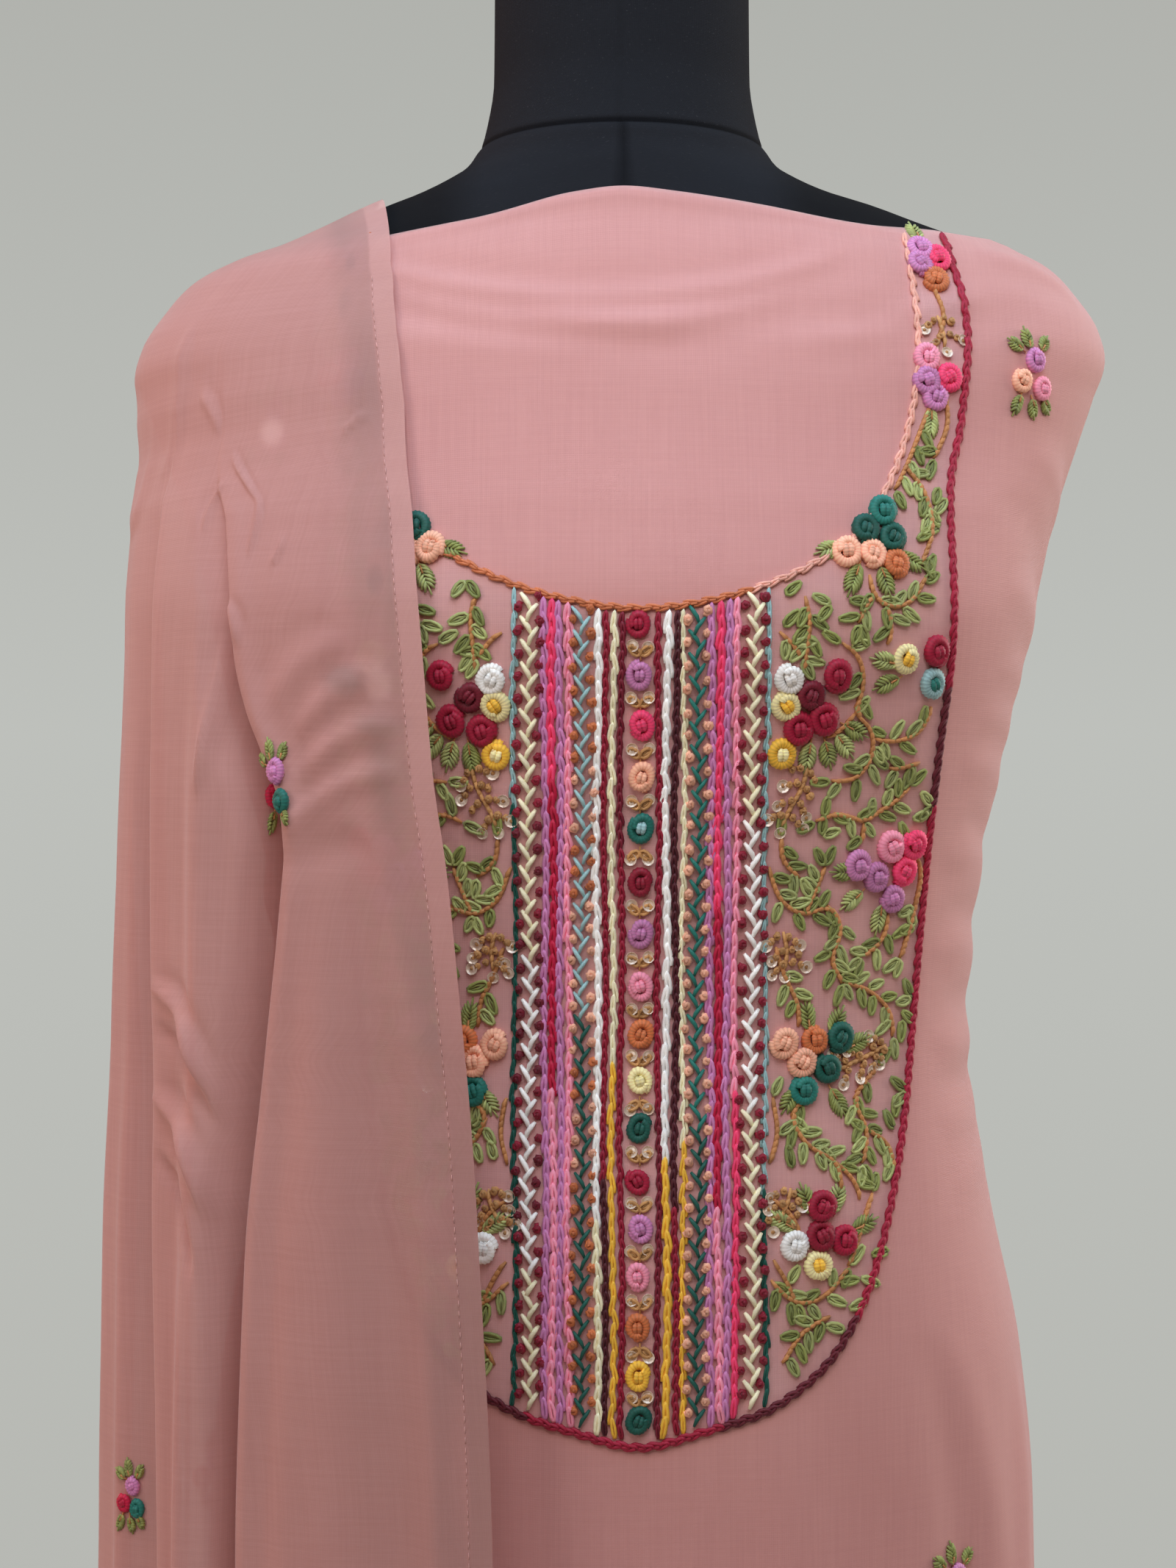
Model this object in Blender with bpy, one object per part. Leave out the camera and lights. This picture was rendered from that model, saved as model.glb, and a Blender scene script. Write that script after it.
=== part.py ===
"""Salwar kameez suit on a limbless dress form.

The suit is a kameez of a front and a back panel, a dupatta laid over one shoulder, and a plain salwar of a
belt, two legs and two cuffs. The form stands on a pole and a round base. Metres, +Z up, the front faces -Y,
and the origin is the middle of the base's underside. Every cloth layer is read off one table of the form's
sections, moved out by that layer's own table of ease.
"""

import math
from collections import namedtuple

import bmesh
import bpy
from mathutils import Vector

# Driving dimensions
CLOTH = 0.0016            # wall of every cloth piece
SEAM = 0.0006             # gap between two pieces at a seam
FORM_FOOT = 0.735         # underside of the torso
FORM_TOP = 1.490          # top of the neck
FORM_SIDES = 24
FORM_ROW = 0.052          # longest step between rings of the torso
SHOULDER_TILT = 0.022     # rise for each metre towards +X: the -X shoulder sits a little lower
TILT_FROM, TILT_FULL = 1.18, 1.31
LEAN_FROM, LEAN_FULL = 1.22, 1.29   # above this an ease is taken square to the shoulder, not level
BASE_RADIUS = 0.165
BASE_THICK = 0.020
BASE_BEVEL = 0.006
POLE_RADIUS = 0.0125
CAP_RADIUS = 0.049
CAP_THICK = 0.008
SEAT_GAP = 0.0003         # between hard pieces that meet

KAMEEZ_TOP = 1.366        # level of the shoulder seams
NECK_EDGE_FADES = 1.310   # rows follow the neck slit down to this level
KAMEEZ_HEM = 0.330
KAMEEZ_SLIT = 0.800       # top of the side slits
KAMEEZ_WRAP = 97.0        # degrees from the centre front to the side seam
KAMEEZ_HEM_WRAP = 76.0    # the same at the hem, where the slit stands open
KAMEEZ_COLUMNS = 26
KAMEEZ_BACK_COLUMNS = 20
KAMEEZ_ROW = 0.052        # longest step between rows of the front panel
KAMEEZ_BACK_ROW = 0.060

DUPATTA_TOP = 1.335       # level where the shoulder stretch meets the two falls
DUPATTA_HEM = 0.220
DUPATTA_SIDE = -95.0      # degrees from the centre front to the line down the side
DUPATTA_PART = 0.660      # below this the two falls part at the side
DUPATTA_PART_TURN = 11.0  # degrees that each fall has swung away at its hem
DUPATTA_INNER_X = -0.1075 # the inner hem where it crosses the shoulder
DUPATTA_COLUMNS = 20
DUPATTA_BACK_COLUMNS = 14
DUPATTA_ROW = 0.060       # longest step between rows of the two falls
DUPATTA_RINGS = 6
DUPATTA_RING_CROWDING = 0.8  # below 1, rings lie closer together at the shoulder's edge

BELT_TOP = 1.020
BELT_FOOT = 0.870
CROTCH = 0.690
CUFF_TOP = 0.092
CUFF_FOOT = 0.052
LEG_OUTER_COLUMNS = 14    # from the centre front round the outside to the centre back
LEG_INNER_COLUMNS = 6     # back again along the inside
LEG_ROWS = 12
LEG_CENTRE = 0.098        # of each leg, from the centre line
POLE_ROOM = 0.026         # how far the inside of each leg stands off the centre line


class Table:
    """Rows of sizes against their first column, read between rows along a curve that never overshoots."""

    def __init__(self, names, *rows):
        self.rows = sorted(rows)
        self.slopes = [self._slopes(column) for column in range(1, len(names.split()))]

    def _slopes(self, column):
        steps = [
            (b[column] - a[column]) / (b[0] - a[0]) for a, b in zip(self.rows, self.rows[1:])
        ]
        inner = [2 * p * q / (p + q) if p * q > 0 else 0.0 for p, q in zip(steps, steps[1:])]
        return [steps[0]] + inner + [steps[-1]]

    def at(self, where):
        """The named sizes at this place, as a list in the order of the columns."""
        rows = self.rows
        where = min(max(where, rows[0][0]), rows[-1][0])
        i = next(k for k in range(len(rows) - 1) if where <= rows[k + 1][0])
        span = rows[i + 1][0] - rows[i][0]
        u = (where - rows[i][0]) / span
        sizes = []
        for column, slopes in enumerate(self.slopes, start=1):
            a, b = rows[i][column], rows[i + 1][column]
            sizes.append(
                a * (1 + 2 * u) * (1 - u) ** 2
                + b * u * u * (3 - 2 * u)
                + span * (slopes[i] * u * (1 - u) ** 2 - slopes[i + 1] * u * u * (1 - u))
            )
        return sizes


# The form's level sections. Below its foot the rows go on as the line that the cloth hangs about.
BODY = Table(
    "z half_width front back fullness",
    (1.4900, 0.0555, 0.0500, 0.0550, 0.00),
    (1.4300, 0.0560, 0.0510, 0.0560, 0.00),
    (1.4100, 0.0590, 0.0545, 0.0590, 0.00),
    (1.3985, 0.0625, 0.0575, 0.0620, 0.00),
    (1.3890, 0.0700, 0.0610, 0.0655, 0.00),
    (1.3835, 0.0790, 0.0635, 0.0680, 0.00),
    (1.3762, 0.0950, 0.0665, 0.0710, 0.00),
    (1.3695, 0.1150, 0.0692, 0.0740, 0.00),
    (1.3612, 0.1350, 0.0725, 0.0772, 0.00),
    (1.3534, 0.1550, 0.0755, 0.0800, 0.01),
    (1.3485, 0.1710, 0.0778, 0.0820, 0.01),
    (1.3402, 0.1870, 0.0815, 0.0855, 0.02),
    (1.3300, 0.1965, 0.0855, 0.0885, 0.02),
    (1.3145, 0.2065, 0.0915, 0.0925, 0.03),
    (1.3030, 0.2092, 0.0955, 0.0950, 0.04),
    (1.2870, 0.2035, 0.1010, 0.0975, 0.06),
    (1.2700, 0.1920, 0.1055, 0.0990, 0.08),
    (1.2500, 0.1780, 0.1115, 0.1000, 0.12),
    (1.2300, 0.1670, 0.1180, 0.1000, 0.16),
    (1.1900, 0.1550, 0.1270, 0.0970, 0.20),
    (1.1400, 0.1420, 0.1150, 0.0910, 0.18),
    (1.0800, 0.1265, 0.0970, 0.0840, 0.12),
    (1.0200, 0.1200, 0.0880, 0.0800, 0.10),
    (0.9400, 0.1460, 0.0960, 0.0940, 0.12),
    (0.8800, 0.1630, 0.1000, 0.1080, 0.15),
    (0.8200, 0.1675, 0.0980, 0.1130, 0.15),
    (0.7350, 0.1640, 0.0940, 0.1100, 0.15),
    (0.0500, 0.1640, 0.0940, 0.1100, 0.15),
)

# How far the middle of each layer's wall stands off those sections.
KAMEEZ_EASE = Table(
    "z front side back",
    (1.400, 0.0019, 0.0019, 0.0019),
    (1.290, 0.0019, 0.0019, 0.0019),
    (1.270, 0.0020, 0.0078, 0.0040),
    (1.250, 0.0020, 0.0150, 0.0060),
    (1.230, 0.0021, 0.0212, 0.0080),
    (1.190, 0.0022, 0.0252, 0.0100),
    (1.140, 0.0055, 0.0255, 0.0140),
    (1.080, 0.0140, 0.0300, 0.0180),
    (1.020, 0.0180, 0.0322, 0.0200),
    (0.940, 0.0150, 0.0165, 0.0140),
    (0.880, 0.0100, 0.0118, 0.0090),
    (0.820, 0.0105, 0.0125, 0.0088),
    (0.735, 0.0170, 0.0190, 0.0130),
    (0.600, 0.0270, 0.0270, 0.0200),
    (0.330, 0.0400, 0.0450, 0.0320),
)
DUPATTA_EASE = Table(
    "z front side back",
    (1.400, 0.0055, 0.0055, 0.0055),
    (1.300, 0.0052, 0.0052, 0.0052),
    (1.287, 0.0053, 0.0085, 0.0058),
    (1.257, 0.0056, 0.0300, 0.0080),
    (1.209, 0.0064, 0.0570, 0.0130),
    (1.190, 0.0075, 0.0625, 0.0150),
    (1.144, 0.0210, 0.0760, 0.0230),
    (1.080, 0.0420, 0.0945, 0.0330),
    (1.020, 0.0530, 0.1040, 0.0400),
    (0.940, 0.0475, 0.0800, 0.0300),
    (0.880, 0.0450, 0.0645, 0.0225),
    (0.820, 0.0480, 0.0610, 0.0215),
    (0.735, 0.0620, 0.0670, 0.0290),
    (0.600, 0.0760, 0.0760, 0.0420),
    (0.330, 0.0920, 0.0900, 0.0580),
    (0.220, 0.0950, 0.0930, 0.0620),
)
BELT_EASE = Table(
    "z front side back",
    (1.020, 0.0016, 0.0016, 0.0016),
    (0.980, 0.0030, 0.0030, 0.0030),
    (0.850, 0.0042, 0.0042, 0.0042),
    (0.735, 0.0062, 0.0062, 0.0062),
    (0.600, 0.0062, 0.0062, 0.0062),
)

# The kameez's upper edge, a long slit for the neck, by degrees from the centre front.
FRONT_NECK_EDGE = Table(
    "turn z",
    (-97, 1.3575),
    (-80, 1.3540),
    (-63, 1.3495),
    (-44, 1.3474),
    (-25, 1.3555),
    (-10, 1.3638),
    (0, 1.3670),
    (10, 1.3637),
    (25, 1.3573),
    (44, 1.3523),
    (63, 1.3519),
    (80, 1.3550),
    (97, 1.3575),
)
BACK_NECK_EDGE = Table(
    "turn z",
    (-97, 1.3575),
    (-120, 1.3540),
    (-150, 1.3620),
    (-180, 1.3700),
    (-210, 1.3620),
    (-240, 1.3540),
    (-263, 1.3575),
)

# Where the dupatta's two inner hems hang, by level, in degrees from the centre front.
INNER_HEMS = Table(
    "z front back",
    (1.335, -27.6, -153.0),
    (1.289, -25.0, -154.0),
    (1.226, -22.8, -156.0),
    (1.184, -21.4, -157.0),
    (1.100, -18.5, -158.0),
    (1.043, -17.2, -158.5),
    (0.959, -15.1, -159.0),
    (0.823, -13.3, -160.0),
    (0.220, -11.5, -161.0),
)

# Folds run down the cloth: their turn at the top and at the hem, half their width in degrees, how far they
# stand out (in, if negative), the level where they begin and the level where they are full.
Fold = namedtuple("Fold", "top_turn hem_turn half_width depth begins full")
KAMEEZ_FRONT_FOLDS = (
    Fold(-64, -60, 13, 0.006, 0.86, 0.36),
    Fold(-31, -27, 11, 0.005, 0.80, 0.34),
    Fold(3, 1, 12, -0.007, 0.74, 0.34),
    Fold(29, 30, 12, 0.009, 0.84, 0.36),
    Fold(63, 62, 13, 0.013, 0.88, 0.35),
)
KAMEEZ_BACK_FOLDS = (
    Fold(-118, -120, 13, 0.010, 0.84, 0.36),
    Fold(-150, -148, 13, 0.009, 0.78, 0.34),
    Fold(-181, -180, 14, -0.006, 0.76, 0.34),
    Fold(-214, -212, 13, 0.010, 0.82, 0.35),
    Fold(-240, -238, 12, 0.009, 0.86, 0.36),
)
DUPATTA_FRONT_FOLDS = (
    Fold(-34, -34, 7, 0.007, 1.19, 1.00),
    Fold(-46, -43, 8, -0.036, 1.26, 1.02),
    Fold(-58, -57, 6, -0.014, 1.30, 1.10),
    Fold(-67, -66, 7, 0.006, 1.24, 1.00),
    Fold(-78, -76, 7, -0.016, 1.22, 0.98),
)
DUPATTA_BACK_FOLDS = (
    Fold(-108, -109, 8, -0.014, 1.22, 0.98),
    Fold(-124, -126, 9, -0.018, 1.24, 1.00),
    Fold(-138, -140, 8, 0.008, 1.20, 0.96),
    Fold(-149, -151, 7, -0.010, 1.16, 0.90),
)

# Each salwar leg below the crotch: half its width, half its depth and the depth of its pleats.
LEG = Table(
    "z half_width half_depth pleat",
    (0.092, 0.0510, 0.0530, 0.0030),
    (0.150, 0.0600, 0.0660, 0.0080),
    (0.450, 0.0740, 0.0860, 0.0090),
    (0.690, 0.0710, 0.0880, 0.0040),
    (0.900, 0.0710, 0.0880, 0.0000),
)
LEG_PLEATS = 5
CUFF = Table("z half_width half_depth pleat", (0.052, 0.0525, 0.0545, 0.0), (0.092, 0.0510, 0.0530, 0.003))


def mix(a, b, share):
    return a + (b - a) * share


def ramp(value, low, high):
    """0 at low, 1 at high, with soft ends."""
    u = min(max((value - low) / (high - low), 0.0), 1.0)
    return u * u * (3 - 2 * u)


def layer(turn, z, ease=(0.0, 0.0, 0.0)):
    """The point at this turn (degrees from the centre front, + towards +X) and level, moved out by an ease."""
    step = 0.0015
    width, front, back, fullness = BODY.at(z)
    above, below = BODY.at(z + step), BODY.at(z - step)
    sine, cosine = math.sin(math.radians(turn)), math.cos(math.radians(turn))
    side = 1 if cosine >= 0 else 2
    depth = front if side == 1 else back
    lean = ramp(z, LEAN_FROM, LEAN_FULL) / (2 * step)
    width_slope = (above[0] - below[0]) * lean
    depth_slope = (above[side] - below[side]) * lean
    width_lean = ease[1] / math.hypot(1, width_slope)
    depth_lean = ease[0 if side == 1 else 2] / math.hypot(1, depth_slope)
    x = (width + width_lean) * sine
    y = -(depth + depth_lean) * cosine * (1 + fullness * sine * sine)
    rise = -width_slope * width_lean * sine * sine - depth_slope * depth_lean * cosine * cosine
    return tilted(Vector((x, y, z + rise)))


def tilted(point):
    point.z += SHOULDER_TILT * point.x * ramp(point.z, TILT_FROM, TILT_FULL)
    return point


def fold_depth(folds, turn, z, hem):
    """How far the folds move the cloth out at this place."""
    total = 0.0
    for fold in folds:
        share = min(max((fold.begins - z) / (fold.begins - hem), 0.0), 1.0)
        off = (turn - mix(fold.top_turn, fold.hem_turn, share)) / fold.half_width
        if abs(off) < 1:
            total += fold.depth * math.cos(off * math.pi / 2) ** 2 * (1 - ramp(z, fold.full, fold.begins))
    return total


def folded_layer(turn, z, table, folds, hem):
    out = fold_depth(folds, turn, z, hem)
    return layer(turn, z, [ease + out for ease in table.at(z)])


def material(name, colour, roughness, metallic=0.0):
    made = bpy.data.materials.get(name) or bpy.data.materials.new(name)
    made.use_nodes = True
    shader = made.node_tree.nodes["Principled BSDF"]
    shader.inputs["Base Color"].default_value = (*colour, 1.0)
    shader.inputs["Roughness"].default_value = roughness
    shader.inputs["Metallic"].default_value = metallic
    return made


def peach_georgette():
    return material("peach_georgette", (0.62, 0.29, 0.25), 0.75)


def peach_chiffon():
    return material("peach_chiffon", (0.66, 0.36, 0.31), 0.7)


def plain_lining_cloth():
    return material("peach_santoon", (0.60, 0.28, 0.24), 0.6)


def black_jersey():
    return material("black_jersey", (0.012, 0.013, 0.017), 0.9)


def black_enamel():
    return material("black_enamel", (0.02, 0.02, 0.022), 0.4, 0.2)


def place(name, mesh, finish):
    made = bpy.data.objects.new(name, mesh)
    bpy.context.scene.collection.objects.link(made)
    made.data.materials.append(finish)
    return made


def cloth(name, points, faces, finish):
    """A wall of cloth, half its thickness to each side of these points."""
    mesh = bpy.data.meshes.new(name)
    mesh.from_pydata([tuple(p) for p in points], [], faces)
    shaped = bmesh.new()
    shaped.from_mesh(mesh)
    bmesh.ops.recalc_face_normals(shaped, faces=shaped.faces)
    shaped.to_mesh(mesh)
    shaped.free()
    mesh.shade_smooth()
    made = place(name, mesh, finish)
    wall = made.modifiers.new("Wall", "SOLIDIFY")
    wall.thickness = CLOTH
    wall.offset = 0.0
    wall.use_rim = True
    wall.use_quality_normals = True
    return made


def sheet(name, rows, finish, closed=False):
    """A wall through rows of points, each from one edge to the other, or right round where closed."""
    columns = len(rows[0])
    faces = []
    for r in range(len(rows) - 1):
        for c in range(columns if closed else columns - 1):
            here, there = r * columns, (r + 1) * columns
            following = (c + 1) % columns
            faces.append((here + c, here + following, there + following, there + c))
    return cloth(name, [p for row in rows for p in row], faces, finish)


def levels(top, foot, longest):
    """Levels from top to foot: those of the form's own sections, and more where they lie far apart."""
    stops = [top] + sorted((row[0] for row in BODY.rows if foot < row[0] < top), reverse=True) + [foot]
    found = [top]
    for upper, lower in zip(stops, stops[1:]):
        steps = math.ceil((upper - lower) / longest)
        found += [mix(upper, lower, k / steps) for k in range(1, steps + 1)]
    return found


def seam_turn(level, table, side):
    """SEAM as degrees of turn at the side of a layer."""
    return math.degrees(SEAM / (BODY.at(level)[side] + table.at(level)[side]))


def kameez_panel(name, folds, edge, turns_at, longest, columns):
    """One panel from the neck slit to the hem; turns_at gives its two edges at a level, in degrees."""
    points = []
    for level in levels(KAMEEZ_TOP, KAMEEZ_HEM, longest):
        first, last = turns_at(level)
        follow = ramp(level, NECK_EDGE_FADES, KAMEEZ_TOP)
        row = []
        for c in range(columns + 1):
            turn = mix(first, last, c / columns)
            z = level + (edge.at(turn)[0] - KAMEEZ_TOP) * follow
            row.append(folded_layer(turn, z, KAMEEZ_EASE, folds, KAMEEZ_HEM))
        points.append(row)
    return sheet(name, points, peach_georgette())


def kameez_front_turns(level):
    wrap = mix(KAMEEZ_HEM_WRAP, KAMEEZ_WRAP, ramp(level, KAMEEZ_HEM, KAMEEZ_SLIT))
    return -wrap, wrap


def kameez_back_turns(level):
    gap = seam_turn(level, KAMEEZ_EASE, 2)
    opened = (KAMEEZ_WRAP - KAMEEZ_HEM_WRAP) * (1 - ramp(level, KAMEEZ_HEM, KAMEEZ_SLIT)) / 2
    return -KAMEEZ_WRAP - gap - opened, KAMEEZ_WRAP + gap + opened - 360


def kameez():
    kameez_panel(
        "kameez_front", KAMEEZ_FRONT_FOLDS, FRONT_NECK_EDGE, kameez_front_turns,
        KAMEEZ_ROW, KAMEEZ_COLUMNS,
    )
    kameez_panel(
        "kameez_back", KAMEEZ_BACK_FOLDS, BACK_NECK_EDGE, kameez_back_turns,
        KAMEEZ_BACK_ROW, KAMEEZ_BACK_COLUMNS,
    )


def part_swing(level):
    """Degrees that a fall has swung away from the side line at this level."""
    return DUPATTA_PART_TURN * (1 - ramp(level, DUPATTA_HEM, DUPATTA_PART))


def dupatta_fall(name, folds, turns_at, columns):
    points = []
    for level in levels(DUPATTA_TOP - SEAM, DUPATTA_HEM, DUPATTA_ROW):
        first, last = turns_at(level)
        points.append([
            folded_layer(mix(first, last, c / columns), level, DUPATTA_EASE, folds, DUPATTA_HEM)
            for c in range(columns + 1)
        ])
    return sheet(name, points, peach_chiffon())


def front_fall_turns(level):
    return INNER_HEMS.at(level)[0], DUPATTA_SIDE + part_swing(level)


def back_fall_turns(level):
    return DUPATTA_SIDE - seam_turn(level, DUPATTA_EASE, 2) - part_swing(level), INNER_HEMS.at(level)[1]


def over_the_shoulder(x, y):
    """The dupatta's point above this place on the shoulder."""
    low, high = DUPATTA_TOP - 0.01, 1.395
    reach = math.hypot(x, y)
    for _ in range(40):
        z = (low + high) / 2
        width, front, back, _fullness = BODY.at(z)
        ease = DUPATTA_EASE.at(z)
        depth = (front + ease[0]) if y < 0 else (back + ease[2])
        turn = math.degrees(math.atan2(x / (width + ease[1]), -y / depth))
        point = layer(turn, z, ease)
        if math.hypot(point.x, point.y) > reach:
            low = z
        else:
            high = z
    return point


def dupatta_shoulder():
    """The stretch over the shoulder, in rings round the place where the inner hem crosses the ridge."""
    front, back = INNER_HEMS.at(DUPATTA_TOP)
    turns = [mix(front, DUPATTA_SIDE, c / DUPATTA_COLUMNS) for c in range(DUPATTA_COLUMNS + 1)]
    turns += [
        mix(DUPATTA_SIDE, back, c / DUPATTA_BACK_COLUMNS) for c in range(1, DUPATTA_BACK_COLUMNS + 1)
    ]
    centre = Vector((DUPATTA_INNER_X, 0.0))
    points = [over_the_shoulder(*centre)]
    ease = DUPATTA_EASE.at(DUPATTA_TOP)
    rim = [layer(turn, DUPATTA_TOP, ease) for turn in turns]
    for ring in range(1, DUPATTA_RINGS):
        share = (ring / DUPATTA_RINGS) ** DUPATTA_RING_CROWDING
        points += [over_the_shoulder(*centre.lerp(end.xy, share)) for end in rim]
    points += rim
    count = len(turns)
    faces = [(0, 1 + c, 2 + c) for c in range(count - 1)]
    for ring in range(DUPATTA_RINGS - 1):
        here = 1 + ring * count
        faces += [(here + c, here + count + c, here + count + c + 1, here + c + 1) for c in range(count - 1)]
    return cloth("dupatta_shoulder", points, faces, peach_chiffon())


def dupatta():
    dupatta_shoulder()
    dupatta_fall("dupatta_front_fall", DUPATTA_FRONT_FOLDS, front_fall_turns, DUPATTA_COLUMNS)
    dupatta_fall("dupatta_back_fall", DUPATTA_BACK_FOLDS, back_fall_turns, DUPATTA_BACK_COLUMNS)


def salwar_belt():
    turns = [360.0 * c / FORM_SIDES for c in range(FORM_SIDES)]
    rows = [
        [layer(turn, z, BELT_EASE.at(z)) for turn in turns] for z in levels(BELT_TOP, BELT_FOOT, FORM_ROW)
    ]
    sheet("salwar_belt", rows, plain_lining_cloth(), closed=True)


def leg_tube_ring(z, sizes):
    """A level ring of the +X leg below the crotch, from the centre front round the outside."""
    half_width, half_depth, pleat = sizes.at(z)
    ring = []
    count = LEG_OUTER_COLUMNS + LEG_INNER_COLUMNS
    for c in range(count):
        if c <= LEG_OUTER_COLUMNS:
            angle = mix(-125, 125, c / LEG_OUTER_COLUMNS)
            swell = pleat * (0.5 - 0.5 * math.cos(2 * math.pi * LEG_PLEATS * c / LEG_OUTER_COLUMNS))
        else:
            angle = mix(125, 235, (c - LEG_OUTER_COLUMNS) / LEG_INNER_COLUMNS)
            swell = 0.0
        turn = math.radians(angle)
        ring.append(Vector((
            LEG_CENTRE + (half_width + swell) * math.cos(turn),
            (half_depth + swell) * math.sin(turn),
            z,
        )))
    return ring


def leg_body_ring(z):
    """A level ring of the +X half of the salwar above the crotch, closed along the centre line."""
    ring = [
        layer(mix(0.0, 180.0, c / LEG_OUTER_COLUMNS), z, BELT_EASE.at(z))
        for c in range(LEG_OUTER_COLUMNS + 1)
    ]
    ring[0].x = ring[-1].x = SEAM / 2
    for c in range(1, LEG_INNER_COLUMNS):
        share = c / LEG_INNER_COLUMNS
        ring.append(Vector((
            (POLE_ROOM + CLOTH) * math.sin(math.pi * share),
            mix(ring[LEG_OUTER_COLUMNS].y, ring[0].y, share),
            z,
        )))
    return ring


def leg_levels():
    upper = [mix(BELT_FOOT - SEAM, CROTCH, r / 5) for r in range(6)]
    lower = [mix(CROTCH, CUFF_TOP, r / (LEG_ROWS - 5)) for r in range(1, LEG_ROWS - 4)]
    return upper, lower


def salwar_leg(name, side):
    """One leg: open along the centre line above the crotch, a tube below it."""
    upper, lower = leg_levels()
    rings = []
    for z in upper + lower:
        share = 1 - ramp(z, 0.560, 0.735)
        rings.append([a.lerp(b, share) for a, b in zip(leg_body_ring(z), leg_tube_ring(z, LEG))])
    count = LEG_OUTER_COLUMNS + LEG_INNER_COLUMNS
    open_rows = len(upper) - 1
    used, points, faces = {}, [], []

    def index(r, c):
        key = (r, c % count)
        if key not in used:
            used[key] = len(points)
            point = rings[r][c % count]
            points.append(Vector((side * point.x, point.y, point.z)))
        return used[key]

    for r in range(len(rings) - 1):
        columns = LEG_OUTER_COLUMNS if r < open_rows else count
        faces += [
            (index(r, c), index(r, c + 1), index(r + 1, c + 1), index(r + 1, c)) for c in range(columns)
        ]
    return cloth(name, points, faces, plain_lining_cloth())


def salwar_cuff(name, side):
    rows = []
    for z in (CUFF_TOP - SEAM, mix(CUFF_TOP, CUFF_FOOT, 0.5), CUFF_FOOT):
        rows.append([Vector((side * p.x, p.y, p.z)) for p in leg_tube_ring(z, CUFF)])
    sheet(name, rows, plain_lining_cloth(), closed=True)


def salwar():
    salwar_belt()
    for name, side in (("left", -1), ("right", 1)):
        salwar_leg("salwar_leg_" + name, side)
        salwar_cuff("salwar_cuff_" + name, side)


def form_body():
    """The smooth torso and neck, closed flat at both ends."""
    turns = [360.0 * c / FORM_SIDES for c in range(FORM_SIDES)]
    shaped = bmesh.new()
    rings = [
        [shaped.verts.new(layer(turn, z)) for turn in turns]
        for z in reversed(levels(FORM_TOP, FORM_FOOT, FORM_ROW))
    ]
    for lower, upper in zip(rings, rings[1:]):
        for c in range(FORM_SIDES):
            d = (c + 1) % FORM_SIDES
            shaped.faces.new((lower[c], lower[d], upper[d], upper[c]))
    shaped.faces.new(list(reversed(rings[0])))
    shaped.faces.new(rings[-1])
    bmesh.ops.recalc_face_normals(shaped, faces=shaped.faces)
    mesh = bpy.data.meshes.new("form_body")
    shaped.to_mesh(mesh)
    shaped.free()
    mesh.shade_smooth()
    place("form_body", mesh, black_jersey())


def turned(name, radius, low, high, sides, bevel, finish, segments=1):
    """A disc or rod turned about the pole's line, from low to high."""
    shaped = bmesh.new()
    bmesh.ops.create_cone(
        shaped, cap_ends=True, segments=sides, radius1=radius, radius2=radius, depth=high - low
    )
    mesh = bpy.data.meshes.new(name)
    shaped.to_mesh(mesh)
    shaped.free()
    made = place(name, mesh, finish)
    made.location.z = (low + high) / 2
    if bevel:
        soften = made.modifiers.new("Soften", "BEVEL")
        soften.width = bevel
        soften.segments = segments
        soften.limit_method = "ANGLE"
    return made


def stand():
    neck_top = FORM_TOP + SHOULDER_TILT * BODY.at(FORM_TOP)[0]
    turned(
        "form_neck_cap", CAP_RADIUS, neck_top + SEAT_GAP, neck_top + CAP_THICK, 24, 0.002, black_enamel()
    )
    turned("stand_pole", POLE_RADIUS, BASE_THICK + SEAT_GAP, FORM_FOOT - SEAT_GAP, 16, 0, black_enamel())
    turned("stand_base", BASE_RADIUS, 0.0, BASE_THICK, 32, BASE_BEVEL, black_enamel(), segments=2)


def main():
    for old in list(bpy.data.objects):
        bpy.data.objects.remove(old, do_unlink=True)
    form_body()
    stand()
    salwar()
    kameez()
    dupatta()


main()
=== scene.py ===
import math
import random
from collections import namedtuple

import bpy
import numpy as np
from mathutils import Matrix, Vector
from mathutils.bvhtree import BVHTree


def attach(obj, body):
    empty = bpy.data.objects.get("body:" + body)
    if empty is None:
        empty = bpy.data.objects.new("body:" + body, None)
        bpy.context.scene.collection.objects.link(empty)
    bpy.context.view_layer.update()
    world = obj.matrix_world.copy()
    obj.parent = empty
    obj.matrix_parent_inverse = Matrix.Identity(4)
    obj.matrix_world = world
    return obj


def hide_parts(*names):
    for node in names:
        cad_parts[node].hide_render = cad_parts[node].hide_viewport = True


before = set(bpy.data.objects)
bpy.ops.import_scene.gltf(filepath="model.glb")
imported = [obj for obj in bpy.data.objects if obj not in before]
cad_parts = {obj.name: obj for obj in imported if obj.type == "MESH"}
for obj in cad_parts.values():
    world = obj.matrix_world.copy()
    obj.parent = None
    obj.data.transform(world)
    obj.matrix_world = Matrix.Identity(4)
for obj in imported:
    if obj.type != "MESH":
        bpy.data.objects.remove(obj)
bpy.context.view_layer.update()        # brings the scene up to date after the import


# Studio. A suit on a dress form, seen level from the front before a plain pale grey-green wall, on a pale
# painted floor. The light is broad and soft, strongest from above, so the cloth darkens towards the hem.
EYE_PLACE = (-0.0148, -1.1, 1.1229)
EYE_LENS, EYE_SENSOR = 57.55, 36
WALL_TOP, WALL_MIDDLE, WALL_FOOT = (0.440, 0.447, 0.420), (0.515, 0.527, 0.500), (0.475, 0.482, 0.452)
ROOM_GLOW = (0.122, 0.077, 0.053)

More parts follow.
